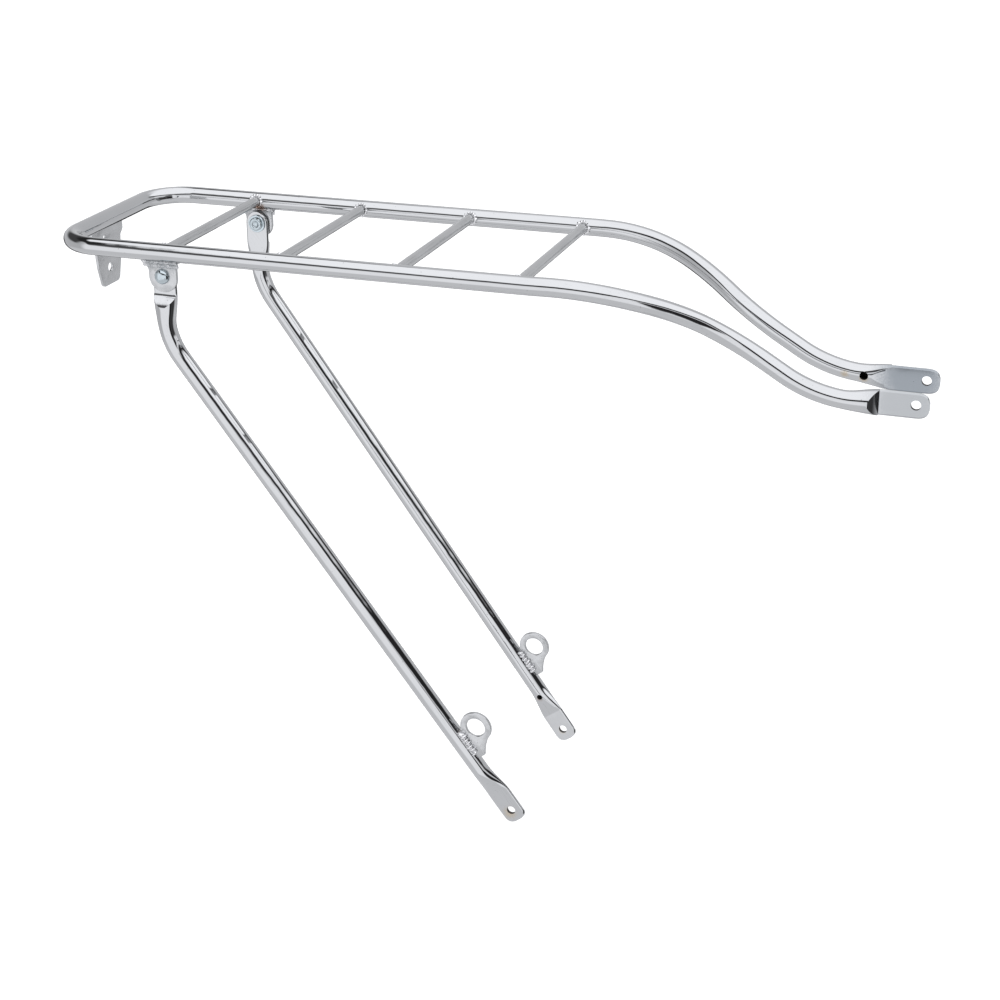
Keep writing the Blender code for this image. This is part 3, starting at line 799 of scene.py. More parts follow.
def make_weld_tree() -> bpy.types.NodeTree:
    """Tree that lays overlapping drops of weld metal along paths and melts them together."""
    maker, given, out = new_group(
        "weld_run", "GeometryNodeTree",
        {"Geometry": ("NodeSocketGeometry", None), "Pitch": ("NodeSocketFloat", 0.0018),
         "Drop": ("NodeSocketFloat", 0.0015), "Thickness": ("NodeSocketFloat", 0.5),
         "Unevenness": ("NodeSocketFloat", 0.25), "Seed": ("NodeSocketInt", 3),
         "Melt": ("NodeSocketFloat", 0.00022), "Material": ("NodeSocketMaterial", None)},
        {"Geometry": "NodeSocketGeometry"})
    curve = maker.add("GeometryNodeMeshToCurve", {"Mesh": given["Geometry"]})
    points = maker.add("GeometryNodeCurveToPoints", {"Curve": curve.outputs[0], "Length": given["Pitch"]},
                       mode="LENGTH")
    drop = maker.add("GeometryNodeMeshUVSphere", {"Segments": 20, "Rings": 12, "Radius": 1.0})
    low = maker.math("SUBTRACT", 1.0, given["Unevenness"])
    high = maker.math("ADD", 1.0, given["Unevenness"])
    lot = maker.add("FunctionNodeRandomValue", {2: low, 3: high, "Seed": given["Seed"]}, data_type="FLOAT")
    size = maker.math("MULTIPLY", lot.outputs[1], given["Drop"])
    along = maker.math("MULTIPLY", size, given["Thickness"])
    scale = maker.add("ShaderNodeCombineXYZ", {"X": size, "Y": size, "Z": along})
    placed = maker.add("GeometryNodeInstanceOnPoints",
                       {"Points": points.outputs[0], "Instance": drop.outputs[0],
                        "Rotation": points.outputs["Rotation"], "Scale": scale.outputs[0]})
    lean = maker.add("FunctionNodeRandomValue", {0: (-0.35, -0.35, 0.0), 1: (0.35, 0.35, 0.0),
                                                 "Seed": given["Seed"]}, data_type="FLOAT_VECTOR")
    leaning = maker.add("GeometryNodeRotateInstances", {"Instances": placed.outputs[0],
                                                        "Rotation": lean.outputs[0]})
    solid = maker.add("GeometryNodeRealizeInstances", {"Geometry": leaning.outputs[0]})
    cloud = maker.add("GeometryNodeMeshToVolume", {"Mesh": solid.outputs[0], "Voxel Size": given["Melt"],
                                                   "Interior Band Width": 0.001},
                      resolution_mode="VOXEL_SIZE")
    skinned = maker.add("GeometryNodeVolumeToMesh", {"Volume": cloud.outputs[0], "Threshold": 0.1})
    end_tree(maker, skinned.outputs[0], given["Material"], out["Geometry"])
    return maker.tree


def end_tree(maker: TreeMaker, geometry: bpy.types.NodeSocket, material: bpy.types.NodeSocket,
             target: bpy.types.NodeSocket) -> None:
    """End a tree in Realize Instances and Set Material.

    Args:
        maker: The tree.
        geometry: What it has made.
        material: Its material input.
        target: The group's output.
    """
    solid = maker.add("GeometryNodeRealizeInstances", {"Geometry": geometry})
    dressed = maker.add("GeometryNodeSetMaterial", {"Geometry": solid.outputs[0], "Material": material})
    maker.link(dressed.outputs[0], target)


TREES = {"pair": make_pair_tree(), "rods": make_rod_tree(), "weld": make_weld_tree()}


def grown(item: bpy.types.Object, tree: str, smooth_angle: float = 35.0,
          **inputs: object) -> bpy.types.Object:
    """Run a geometry node tree on an object and keep the result as its mesh.

    Args:
        item: The object that the tree starts from.
        tree: Key of the tree.
        smooth_angle: Edges that turn more than this many degrees stay sharp.
        inputs: Tree inputs by name.

    Returns:
        The same object with a plain mesh.
    """
    group = TREES[tree]
    modifier = item.modifiers.new(tree, "NODES")
    modifier.node_group = group
    identifiers = {socket.name: socket.identifier for socket in group.interface.items_tree
                   if socket.in_out == "INPUT"}
    for name, value in inputs.items():
        modifier[identifiers[name]] = value
    return settle(item, smooth_angle)


def path_object(name: str, paths: Iterable[Sequence[Sequence[float]]], closed: bool = False) -> bpy.types.Object:
    """Make an object of bare edges along paths in rack stations.

    Args:
        name: Name of the object.
        paths: Points of each path.
        closed: True joins each path's end to its start.

    Returns:
        The object.
    """
    mesh = bpy.data.meshes.new(name)
    points: list[Vector] = []
    edges: list[tuple[int, int]] = []
    for path in paths:
        start = len(points)
        points += [in_frame(point) for point in path]
        last = len(points) - 1
        edges += [(k, k + 1) for k in range(start, last)]
        if closed:
            edges.append((last, start))
    mesh.from_pydata(points, edges, [])
    item = bpy.data.objects.new(name, mesh)
    bpy.context.scene.collection.objects.link(item)
    return item


# ------------------------------------------------------------------ sheet metal

def rounded_outline(corners: Sequence[tuple[float, float, float]], count: int = 10) -> list[Point2]:
    """Round the corners of a closed outline.

    Args:
        corners: x, y and radius of each corner.
        count: Steps in each arc.

    Returns:
        Points of the outline.
    """
    outline: list[Point2] = []
    total = len(corners)
    for k, (x, y, radius) in enumerate(corners):
        here = Vector((x, y))
        before = Vector(corners[k - 1][:2]) - here
        after = Vector(corners[(k + 1) % total][:2]) - here
        half = before.angle(after) / 2.0
        reach = radius / math.tan(half)
        middle = here + (before.normalized() + after.normalized()).normalized() * (radius / math.sin(half))
        first = here + before.normalized() * reach - middle
        last = here + after.normalized() * reach - middle
        for step in range(count + 1):
            spoke = (first * (1.0 - step / count) + last * (step / count)).normalized() * radius
            outline.append(tuple(middle + spoke))
    return outline


def circle(x: float, y: float, radius: float, sides: int = 48) -> list[Point2]:
    """Points round a circle."""
    return [(x + radius * math.cos(math.tau * k / sides), y + radius * math.sin(math.tau * k / sides))
            for k in range(sides)]


def sheet_piece(name: str, outlines: Sequence[Sequence[Point2]], thick: float, rim: float,
                place: Callable[[float, float, float], Vector],
                material: bpy.types.Material) -> bpy.types.Object:
    """Blank a piece from sheet metal, with rolled-over rims on its outline and holes.

    Args:
        name: Name of the piece.
        outlines: The outline, then each hole.
        thick: Thickness of the sheet.
        rim: Radius of the rounded rims.
        place: Takes the two sheet coordinates and the height off its middle to a station.
        material: Its finish.

    Returns:
        The piece.
    """
    curve = bpy.data.curves.new(name, "CURVE")
    curve.dimensions = "2D"
    curve.fill_mode = "BOTH"
    curve.extrude = thick / 2.0 - rim
    curve.bevel_depth = rim
    curve.bevel_resolution = 2
    curve.offset = -rim
    for outline in outlines:
        spline = curve.splines.new("POLY")
        spline.points.add(len(outline) - 1)
        for point, (x, y) in zip(spline.points, outline):
            point.co = (x, y, 0.0, 1.0)
        spline.use_cyclic_u = True
    holder = bpy.data.objects.new(name + "_curve", curve)
    bpy.context.scene.collection.objects.link(holder)
    graph = bpy.context.evaluated_depsgraph_get()
    flat = bpy.data.meshes.new_from_object(holder.evaluated_get(graph), depsgraph=graph)
    bm = bmesh.new()
    bm.from_mesh(flat)
    bpy.data.objects.remove(holder, do_unlink=True)
    bmesh.ops.remove_doubles(bm, verts=bm.verts, dist=0.0005)
    for vertex in bm.verts:
        vertex.co = place(*vertex.co)
    bmesh.ops.recalc_face_normals(bm, faces=bm.faces)
    return add_piece(name, bm, [material], 25.0)


# ------------------------------------------------------------------ carrier

@dataclass
class CarrierTube:
    """The bent tube: rear crossbar, rails, double bends and pressed front tabs."""

    rail_y: float = 72.9
    rear_bend: float = 29.0
    arm_y: float = 27.2
    arm_z: float = -69.7
    plan_x: Point2 = (374.6, 456.5)
    plan_r: Point2 = (159.0, 86.0)
    side_x: Point2 = (396.8, 511.6)
    side_r: Point2 = (186.0, 90.0)
    step_x: float = 550.0
    tip_root_x: float = 571.8
    tip_x: float = 581.4
    hole: tuple[float, float, float] = (573.0, -69.2, 3.25)
    vent: Point2 = (533.0, 2.8)
    wall: float = 1.2
    end: PressedEnd = PressedEnd(8.5, 1.3, -3.4, taper=24.0, facet=6.6, lip=1.2, inner_run=12.0)

    @staticmethod
    def eased_corner(x: float, at: Point2, values: Point2, radii: Point2) -> float:
        """Two level runs joined by a slope, with both corners bent to a radius.

        Args:
            x: Station to read.
            at: Stations of the two corners.
            values: Level before and after them.
            radii: Bend radius of each.

        Returns:
            The level at x.
        """
        slope = (values[1] - values[0]) / (at[1] - at[0])
        angle, sign = math.atan(abs(slope)), math.copysign(1.0, slope)
        reach = [radius * math.tan(angle / 2.0) for radius in radii]
        start, leave = at[0] - reach[0], at[0] + reach[0] * math.cos(angle)
        arrive, end = at[1] - reach[1] * math.cos(angle), at[1] + reach[1]
        if x <= start:
            return values[0]
        if x < leave:
            return values[0] + sign * (radii[0] - math.sqrt(radii[0] ** 2 - (x - start) ** 2))
        if x <= arrive:
            return values[0] + slope * (x - at[0])
        if x < end:
            return values[1] - sign * (radii[1] - math.sqrt(radii[1] ** 2 - (end - x) ** 2))
        return values[1]

    def rail_point(self, x: float) -> Vector:
        """Centre of the left rail and arm at a station."""
        return Vector((x, self.eased_corner(x, self.plan_x, (self.rail_y, self.arm_y), self.plan_r),
                       self.eased_corner(x, self.side_x, (0.0, self.arm_z), self.side_r)))

    def half_path(self, stations: Sequence[float], bend_steps: int) -> list[Vector]:
        """Points from the middle of the rear crossbar round to the front of the left arm."""
        inset = self.rail_y - self.rear_bend
        points = [Vector((0.0, y, 0.0)) for y in steps(0.0, inset, 8.0)[:-1]]
        for angle in (math.pi - math.pi / 2.0 * k / bend_steps for k in range(bend_steps + 1)):
            points.append(Vector((self.rear_bend + self.rear_bend * math.cos(angle),
                                  inset + self.rear_bend * math.sin(angle), 0.0)))
        return points + [self.rail_point(x) for x in stations]

    def stations(self) -> list[float]:
        """Stations of the rings along a rail, arm and tab."""
        facet_x = self.step_x - self.end.facet
        runs = steps(36.0, 320.0, 12.0) + steps(326.0, self.step_x - 26.0, 2.0)
        runs += steps(self.step_x - 25.0, facet_x - 0.7, 0.8) + steps(facet_x, self.step_x - 0.02, 0.4)
        runs += [self.step_x + 0.3] + steps(self.step_x + 1.2, self.tip_root_x, 1.5)
        return runs + [self.tip_root_x + (self.tip_x - self.tip_root_x) * math.sin(math.pi / 2 * k / 14)
                       for k in range(1, 15)]

    def section(self, x: float) -> Section:
        """Section of the tube at a station."""
        shape = self.end.section(x - self.step_x)
        share = max((x - self.tip_root_x) / (self.tip_x - self.tip_root_x), 0.0)
        return Section(shape.half_width, shape.side_level, shape.crown, shape.keel, shape.ceiling,
                       shape.floor, tip_share(share))

    @staticmethod
    def mirrored(half: Sequence[Vector]) -> list[Vector]:
        """The left half reversed, then the right half."""
        return list(reversed(half)) + [Vector((p.x, -p.y, p.z)) for p in half[1:]]

    def build(self, chrome: bpy.types.Material, bare: bpy.types.Material) -> bpy.types.Object:
        """Build the tube.

        Args:
            chrome: Finish of the outside.
            bare: Finish of the bore.

        Returns:
            The piece.
        """
        bm = bmesh.new()
        path = self.mirrored(self.half_path(self.stations(), 26))
        last = len(path) - 1
        rings = []
        for k, centre in enumerate(path):
            tangent = path[min(k + 1, last)] - path[max(k - 1, 0)]
            rings.append(ring_at(self.section(centre.x), centre, tangent, tangent.cross(UP)))
        skin(bm, rings)
        bore_x = self.step_x - 14.0
        bore = self.mirrored(self.half_path(steps(36.0, 320.0, 60.0) + steps(328.0, bore_x, 7.0), 8))
        last = len(bore) - 1
        skin(bm, [bore_ring((6.0 - self.wall) * (0.45 if k in (0, last) else 1.0), centre,
                            bore[min(k + 1, last)] - bore[max(k - 1, 0)])
                  for k, centre in enumerate(bore)], slot=1, inward=True)
        piece = add_piece("carrier_tube_shell", bm, [chrome, bare])
        drills = bmesh.new()
        hole_x, hole_z, hole_r = self.hole
        for side in Side:
            turned(drills, (hole_x, side.value * (self.arm_y + self.end.offset), hole_z), (0, 1, 0),
                   ((-4.0, hole_r), (4.0, hole_r)), 48)
            turned(drills, (self.vent[0], side.value * self.arm_y, self.arm_z), (0, -side.value, 0),
                   ((1.0, self.vent[1]), (8.0, self.vent[1])), 36)
        return drilled(piece, drills, 24.0)


@dataclass
class CrossRods:
    """Four drawn rods between the rails, welded round both ends."""

    first_x: float = 80.8
    pitch: float = 82.63
    count: int = 4
    radius: float = 3.37
    height: float = 0.36
    rail_inner_y: float = 66.9

    def build(self, finish: bpy.types.Material) -> bpy.types.Object:
        """Build the rods as one piece of four bars."""
        holder = path_object("cross_rods", [[(0.0, 0.0, 0.0)]])
        return grown(holder, "rods", Count=self.count, First=in_frame((self.first_x, 0.0, self.height)),
                     Pitch=self.pitch * MM, Radius=self.radius * MM,
                     Length=(2.0 * self.rail_inner_y + 1.2) * MM, Material=finish)

    def build_welds(self, finish: bpy.types.Material) -> bpy.types.Object:
        """Build the run of weld metal round each rod end."""
        paths = []
        for number in range(self.count):
            x = self.first_x + self.pitch * number
            for side in Side:
                loop = []
                for k in range(28):
                    angle = math.tau * k / 28
                    z = self.height + 4.0 * math.sin(angle)
                    back = 6.0 - math.sqrt(max(36.0 - z * z, 0.0))
                    loop.append((x + 4.3 * math.cos(angle), side.value * (self.rail_inner_y + back - 0.2), z))
                paths.append(loop)
        return grown(path_object("rod_welds", paths, closed=True), "weld", Pitch=0.0021, Drop=0.00135,
                     Thickness=0.85, Unevenness=0.28, Seed=11, Melt=0.0002, Material=finish)


@dataclass
class LightBracket:
    """The lamp plate under the rear crossbar, with two tack welds."""

    x: float = -4.8
    thick: float = 2.0
    half_outline: tuple[tuple[float, float, float], ...] = (
        (21.0, -4.2, 1.0), (21.0, -14.0, 3.0), (17.2, -17.5, 2.0), (15.4, -35.0, 12.0), (11.2, -49.6, 4.0))
    bolt: tuple[float, float, float] = (0.0, -37.2, 3.25)
    pilot: tuple[float, float, float] = (-4.6, -14.5, 2.0)
    weld_run: Point2 = (21.0, 31.0)

    def build(self, finish: bpy.types.Material) -> bpy.types.Object:
        """Build the plate."""
        right = list(self.half_outline)
        left = [(-y, z, radius) for y, z, radius in reversed(right)]
        return sheet_piece("light_bracket_plate", [rounded_outline(right + left), circle(*self.bolt),
                                                   circle(*self.pilot)],
                           self.thick, 0.25, lambda y, z, w: Vector((self.x + w, y, z)), finish)

    def build_welds(self, finish: bpy.types.Material) -> bpy.types.Object:
        """Build the two tack welds beside the plate."""
        run = [(self.x + 0.5, y, -5.0) for y in steps(*self.weld_run, 1.0)]
        tacks = [run, [(x, -y, z) for x, y, z in run]]
        return grown(path_object("bracket_welds", tacks), "weld", Pitch=0.0018, Drop=0.0014,
                     Thickness=0.8, Unevenness=0.25, Seed=5, Melt=0.0002, Material=finish)


@dataclass
class PivotSet:
    """Lugs under the rails, with their weld runs, rivets and washers."""

    rail_y: float = 72.9
    pivot: tuple[float, float, float] = PIVOT
    lug_x: float = 80.2
    lug_half_width: float = 10.3
    lug_thick: float = 2.5
    lug_bottom: float = -27.1
    flare: Point2 = (66.2, 92.5)
    hole: float = 3.2
    head: Point2 = (5.15, 3.2)
    tail: Point2 = (4.8, 1.75)
    dimple: float = 2.6
    washer: Point2 = (6.4, 1.0)
    leg_inner_y: float = 68.4

    def build_lugs(self, finish: bpy.types.Material) -> bpy.types.Object:
        """Build both lugs."""
        rear, front = self.lug_x - self.lug_half_width, self.lug_x + self.lug_half_width
        corners = ((rear, self.lug_bottom, 10.1), (front, self.lug_bottom, 10.1), (front, -7.85, 1.0),
                   (self.flare[1], -6.25, 0.4), (self.flare[1], -5.4, 0.1), (self.flare[0], -5.4, 0.1),
                   (self.flare[0], -6.25, 0.4), (rear, -11.85, 4.5))
        lug = sheet_piece("pivot_lugs", [rounded_outline(corners, 12),
                                         circle(self.pivot[0], self.pivot[2], self.hole)],
                          self.lug_thick, 0.3, lambda x, z, w: Vector((x, self.rail_y + w, z)), finish)
        return grown(lug, "pair", 25.0, Material=finish)

    def build_welds(self, finish: bpy.types.Material) -> bpy.types.Object:
        """Build the runs of weld metal on both faces of each lug."""
        run = steps(self.flare[0] + 1.0, self.flare[1] - 1.5, 1.0)
        paths = []
        for y, z in ((self.rail_y + 1.6, -6.5), (self.rail_y + 0.75, -8.0), (self.rail_y + 0.45, -9.3),
                     (self.rail_y - 1.7, -6.1)):
            paths.append([(x, y, z + 0.25 * math.sin(x * 1.7)) for x in run])
        paths.append([(x, self.rail_y, -6.6) for x in steps(self.flare[0] - 0.6, self.flare[0] + 1.4, 0.7)])
        welds = grown(path_object("lug_welds", paths), "weld", Pitch=0.0014, Drop=0.0012, Thickness=1.3,
                      Unevenness=0.22, Seed=7, Melt=0.0002, Material=finish)
        return grown(welds, "pair", Material=finish)

    def build_rivets(self, finish: bpy.types.Material) -> bpy.types.Object:
        """Build both rivets: domed outside, peened over the washer inside."""
        seat = self.lug_thick / 2.0 + 0.1
        tail_seat = self.leg_inner_y - self.rail_y - 0.3 - self.washer[1] - 0.1
        tail_end = tail_seat - self.tail[1]
        radius, rise = self.head
        profile = [(tail_end + 1.0, 0.15), (tail_end + 0.95, self.dimple * 0.55), (tail_end + 0.7, self.dimple * 0.8),
                   (tail_end + 0.15, self.dimple * 0.97), (tail_end, self.dimple + 0.25),
                   (tail_end, self.tail[0] - 0.9), (tail_end + 0.2, self.tail[0] - 0.4),
                   (tail_end + 0.7, self.tail[0]), (tail_seat, self.tail[0]), (tail_seat, 2.9), (seat, 2.9),
                   (seat, radius), (seat + 0.35, radius)]
        for k in range(1, 12):
            angle = math.pi / 2.0 * k / 12
            profile.append((seat + 0.35 + (rise - 0.35) * math.sin(angle), radius * math.cos(angle) ** 0.8))
        profile.append((seat + rise, 0.2))
        bm = bmesh.new()
        turned(bm, (self.pivot[0], self.rail_y, self.pivot[2]), (0, 1, 0), profile)
        return grown(add_piece("pivot_rivets", bm, [finish]), "pair", 40.0, Material=finish)

    def build_washers(self, finish: bpy.types.Material) -> bpy.types.Object:
        """Build both washers."""
        outer = self.leg_inner_y - self.rail_y - 0.25
        inner = outer - self.washer[1]
        radius, rim = self.washer[0], 0.2
        section = [(outer, self.hole), (outer, radius - rim), (outer - rim, radius), (inner + rim, radius),
                   (inner, radius - rim), (inner, self.hole)]
        bm = bmesh.new()
        sides = 64
        rows = [[bm.verts.new((self.pivot[0] + r * math.cos(t), self.rail_y + along, self.pivot[2] + r * math.sin(t)))
                 for along, r in section] for t in (math.tau * k / sides for k in range(sides))]
        for k in range(sides):
            row, following = rows[k], rows[(k + 1) % sides]
            for j in range(len(section)):
                i = (j + 1) % len(section)
                bm.faces.new((row[j], row[i], following[i], following[j]))
        bmesh.ops.recalc_face_normals(bm, faces=bm.faces)
        return grown(add_piece("rivet_washers", bm, [finish]), "pair", 40.0, Material=finish)


# ------------------------------------------------------------------ legs

@dataclass
class Leg:
    """One swinging leg with its ring eyelet and weld runs."""

    side: Side
    top: Point2 = (79.4, -16.3)
    bend: Point2 = (78.7, -60.5)
    y: float = 71.2
    bend_r: float = 47.0
    foot: tuple[float, float, float] = FOOT
    step: float = 14.4
    foot_flat: float = 15.0
    foot_tail: float = 8.8
    foot_hole: float = 3.1
    vent: Point2 = (31.0, 2.1)
    wall: float = 1.2
    head: PressedEnd = PressedEnd(8.6, 1.4, -1.4, taper=24.0, facet=7.5, lip=0.85, inner_run=26.0, ledge=2.0)
    shoe: PressedEnd = PressedEnd(8.5, 1.3, -2.4, taper=22.0, facet=0.0, lip=0.0, inner_run=18.0,
                                  punched=False)
    ring_up: float = 66.5
    ring_out: float = 18.1
    ring_r: float = 11.4
    ring_hole: float = 7.0
    ring_y: float = 64.4
    ring_thick: float = 2.5
    stem: Point2 = (46.0, 69.0)
    neck: Point2 = (53.1, 16.6)
    touch: Point2 = (164.0, -62.0)
    weld_up: Point2 = (51.0, 67.5)

    def lines(self) -> tuple[Vector, Vector, Vector]:
        """Corner points of the centre line: pivot, bend and foot hole."""
        sign = self.side.value
        return (Vector((self.top[0], sign * self.y, self.top[1])),
                Vector((self.bend[0], sign * self.y, self.bend[1])),
                Vector((self.foot[0], sign * self.foot[1], self.foot[2])))

    def centre_line(self) -> list[tuple[Vector, Vector, float, float]]:
        """Stations of the leg as centre, tangent, distance below the pivot and above the foot."""
        pivot, bend, foot = self.lines()
        down, along = (bend - pivot).normalized(), (foot - bend).normalized()
        half = (-down).angle(along) / 2.0
        reach = self.bend_r / math.tan(half)
        middle = bend + (along - down).normalized() * (self.bend_r / math.sin(half))
        first = bend - down * reach - middle
        turn = first.cross(bend + along * reach - middle).normalized()
        sweep = math.pi - 2.0 * half
        run = (bend - pivot).length - reach
        straight = (foot - bend).length - reach
        total = run + self.bend_r * sweep + straight
        out: list[tuple[Vector, Vector, float, float]] = []
        tip = self.head.half_width
        below = [-tip * math.cos(math.pi / 2.0 * k / 12) for k in range(12)] + [0.0, 2.5, 5.0]
        below += steps(7.0, self.step - 3.0, 1.0) + [self.step - 2.3, self.step - 2.0, self.step - 1.0]
        below += steps(self.step + 0.02, self.step + self.head.facet, 0.4)
        below += steps(self.step + self.head.facet + 0.8, self.step + self.head.taper + 3.0, 1.1)
        below += steps(self.step + self.head.taper + 5.0, total - 60.0, 6.0)
        below += steps(total - 58.0, total - 12.0, 1.0) + steps(total - 10.0, total + 2.0, 3.0)
        tail = self.foot_tail - 2.0
        below += [total + 2.0 + tail * math.sin(math.pi / 2.0 * k / 14) for k in range(1, 15)]
        for d in below:
            if d <= run:
                centre, tangent = pivot + down * d, down
            elif d <= run + self.bend_r * sweep:
                angle = (d - run) / self.bend_r
                spoke = Matrix.Rotation(angle, 3, turn) @ first
                centre, tangent = middle + spoke, turn.cross(spoke)
            else:
                centre = bend + along * (reach + d - run - self.bend_r * sweep)
                tangent = along
            out.append((centre, tangent, d, total - d))
        return out

    def section(self, below: float, above: float) -> Section:
        """Section of the leg.

        Args:
            below: Distance below the pivot.
            above: Distance above the foot's hole.

        Returns:
            The section there.
        """
        if above < 60.0:
            shape = self.shoe.section(self.foot_flat - above)
            root = -2.0
            share = max((root - above) / (self.foot_tail + root), 0.0)
            narrow = tip_share(min(share, 1.0))
        else:
            shape = self.head.section(self.step - below)
            share = max(-below / self.head.half_width, 0.0)
            narrow = max(math.sqrt(1.0 - min(share, 1.0) ** 2), 0.12)
        return Section(shape.half_width, shape.side_level, shape.crown, shape.keel, shape.ceiling,
                       shape.floor, narrow)

    def build(self, chrome: bpy.types.Material, bare: bpy.types.Material) -> bpy.types.Object:
        """Build the hollow leg.

        Args:
            chrome: Finish of the outside.
            bare: Finish of the bore.

        Returns:
            The piece.
        """
        sign = self.side.value
        outward = Vector((0.0, sign, 0.0))
        bm = bmesh.new()
        line = self.centre_line()
        skin(bm, [ring_at(self.section(below, above), centre, tangent, outward)
                  for centre, tangent, below, above in line])
        inner = [entry for entry in line[::3] if entry[2] > self.step + self.head.facet + 4.0
                 and entry[3] > self.foot_flat + 13.0]
        last = len(inner) - 1
        skin(bm, [bore_ring((6.0 - self.wall) * (0.5 if k in (0, last) else 1.0), centre, tangent)
                  for k, (centre, tangent, _, _) in enumerate(inner)], slot=1, inward=True)
        piece = add_piece(f"leg_tube_{self.side.word}", bm, [chrome, bare])
        pivot, bend, foot = self.lines()
        along = (foot - bend).normalized()
        drills = bmesh.new()
        turned(drills, (PIVOT[0], sign * (self.y + self.head.offset), PIVOT[2]), (0, 1, 0),
               ((-5.0, 3.2), (5.0, 3.2)), 48)
        turned(drills, foot, (0, 1, 0), ((-5.0, self.foot_hole), (5.0, self.foot_hole)), 48)
        turned(drills, foot - along * self.vent[0], (0, -sign, 0),
               ((1.0, self.vent[1]), (9.0, self.vent[1])), 36)
        return drilled(piece, drills, 24.0)

    def place(self, up_leg: float, out: float, sideways: float) -> Vector:
        """A station given up the leg from the foot hole, out from its axis and off the ring's middle."""
        _, bend, foot = self.lines()
        along = foot - bend
        run = Vector((along.x, 0.0, along.z)).normalized()
        normal = Vector((-run.z, 0.0, run.x))
        point = foot - run * up_leg + normal * out
        return Vector((point.x, self.side.value * (self.ring_y + sideways), point.z))

    def build_eyelet(self, finish: bpy.types.Material) -> bpy.types.Object:
        """Build the ring eyelet on its stem."""
        low, high = self.stem
        outline: list[Point2] = [(low, 4.6), (low, 11.3), (low + 0.25, 11.75), (low + 0.8, 12.1)]
        neck = Vector(self.neck)
        start = Vector((low + 0.8, 12.1))
        first = Vector((self.ring_up, self.ring_out)) + Vector(
            (math.cos(math.radians(self.touch[0])), math.sin(math.radians(self.touch[0])))) * self.ring_r
        for k in range(1, 12):
            t = k / 12
            outline.append(tuple(start * (1 - t) ** 2 + neck * 2 * t * (1 - t) + first * t * t))
        for k in range(57):
            angle = math.radians(mix(self.touch[0], self.touch[1], k / 56))
            outline.append((self.ring_up + self.ring_r * math.cos(angle),
                            self.ring_out + self.ring_r * math.sin(angle)))
        outline.append((high, 4.6))
        return sheet_piece(f"ring_eyelet_{self.side.word}_plate",
                           [outline, circle(self.ring_up, self.ring_out, self.ring_hole, 64)],
                           self.ring_thick, 0.35, self.place, finish)

    def build_welds(self, finish: bpy.types.Material) -> bpy.types.Object:
        """Build the rippled weld runs on both sides of the eyelet's stem."""
        paths = []
        for aside in (2.4, -2.4):
            paths.append([self.place(up, 6.3 + 0.5 * math.sin(up * 1.3), aside)
                          for up in steps(*self.weld_up, 1.0)])
        return grown(path_object(f"eyelet_welds_{self.side.word}", paths), "weld", Pitch=0.0027,
                     Drop=0.0027, Thickness=0.55, Unevenness=0.15, Seed=3 + int(self.side.value),
                     Melt=0.0002, Material=finish)


# ------------------------------------------------------------------ studio

@dataclass(frozen=True)
class Card:
    """One panel of the surround: its brightness and its edges in bearing and height."""

    glow: float
    bearing: Edges
    height: Edges

    def laid_over(self, maker: TreeMaker, light: object, bearing: bpy.types.NodeSocket,
                  height: bpy.types.NodeSocket) -> bpy.types.NodeSocket:
        """Lay the card over what is lit so far.

        Args:
            maker: Tree of the world.
            light: Brightness without the card.
            bearing: Degrees round from the front.
            height: Degrees above the horizon.

        Returns:
            The brightness with it.
        """
        share = maker.math("MULTIPLY", maker.window(bearing, self.bearing),
                           maker.window(height, self.height))
        return maker.mixed(light, self.glow, share)


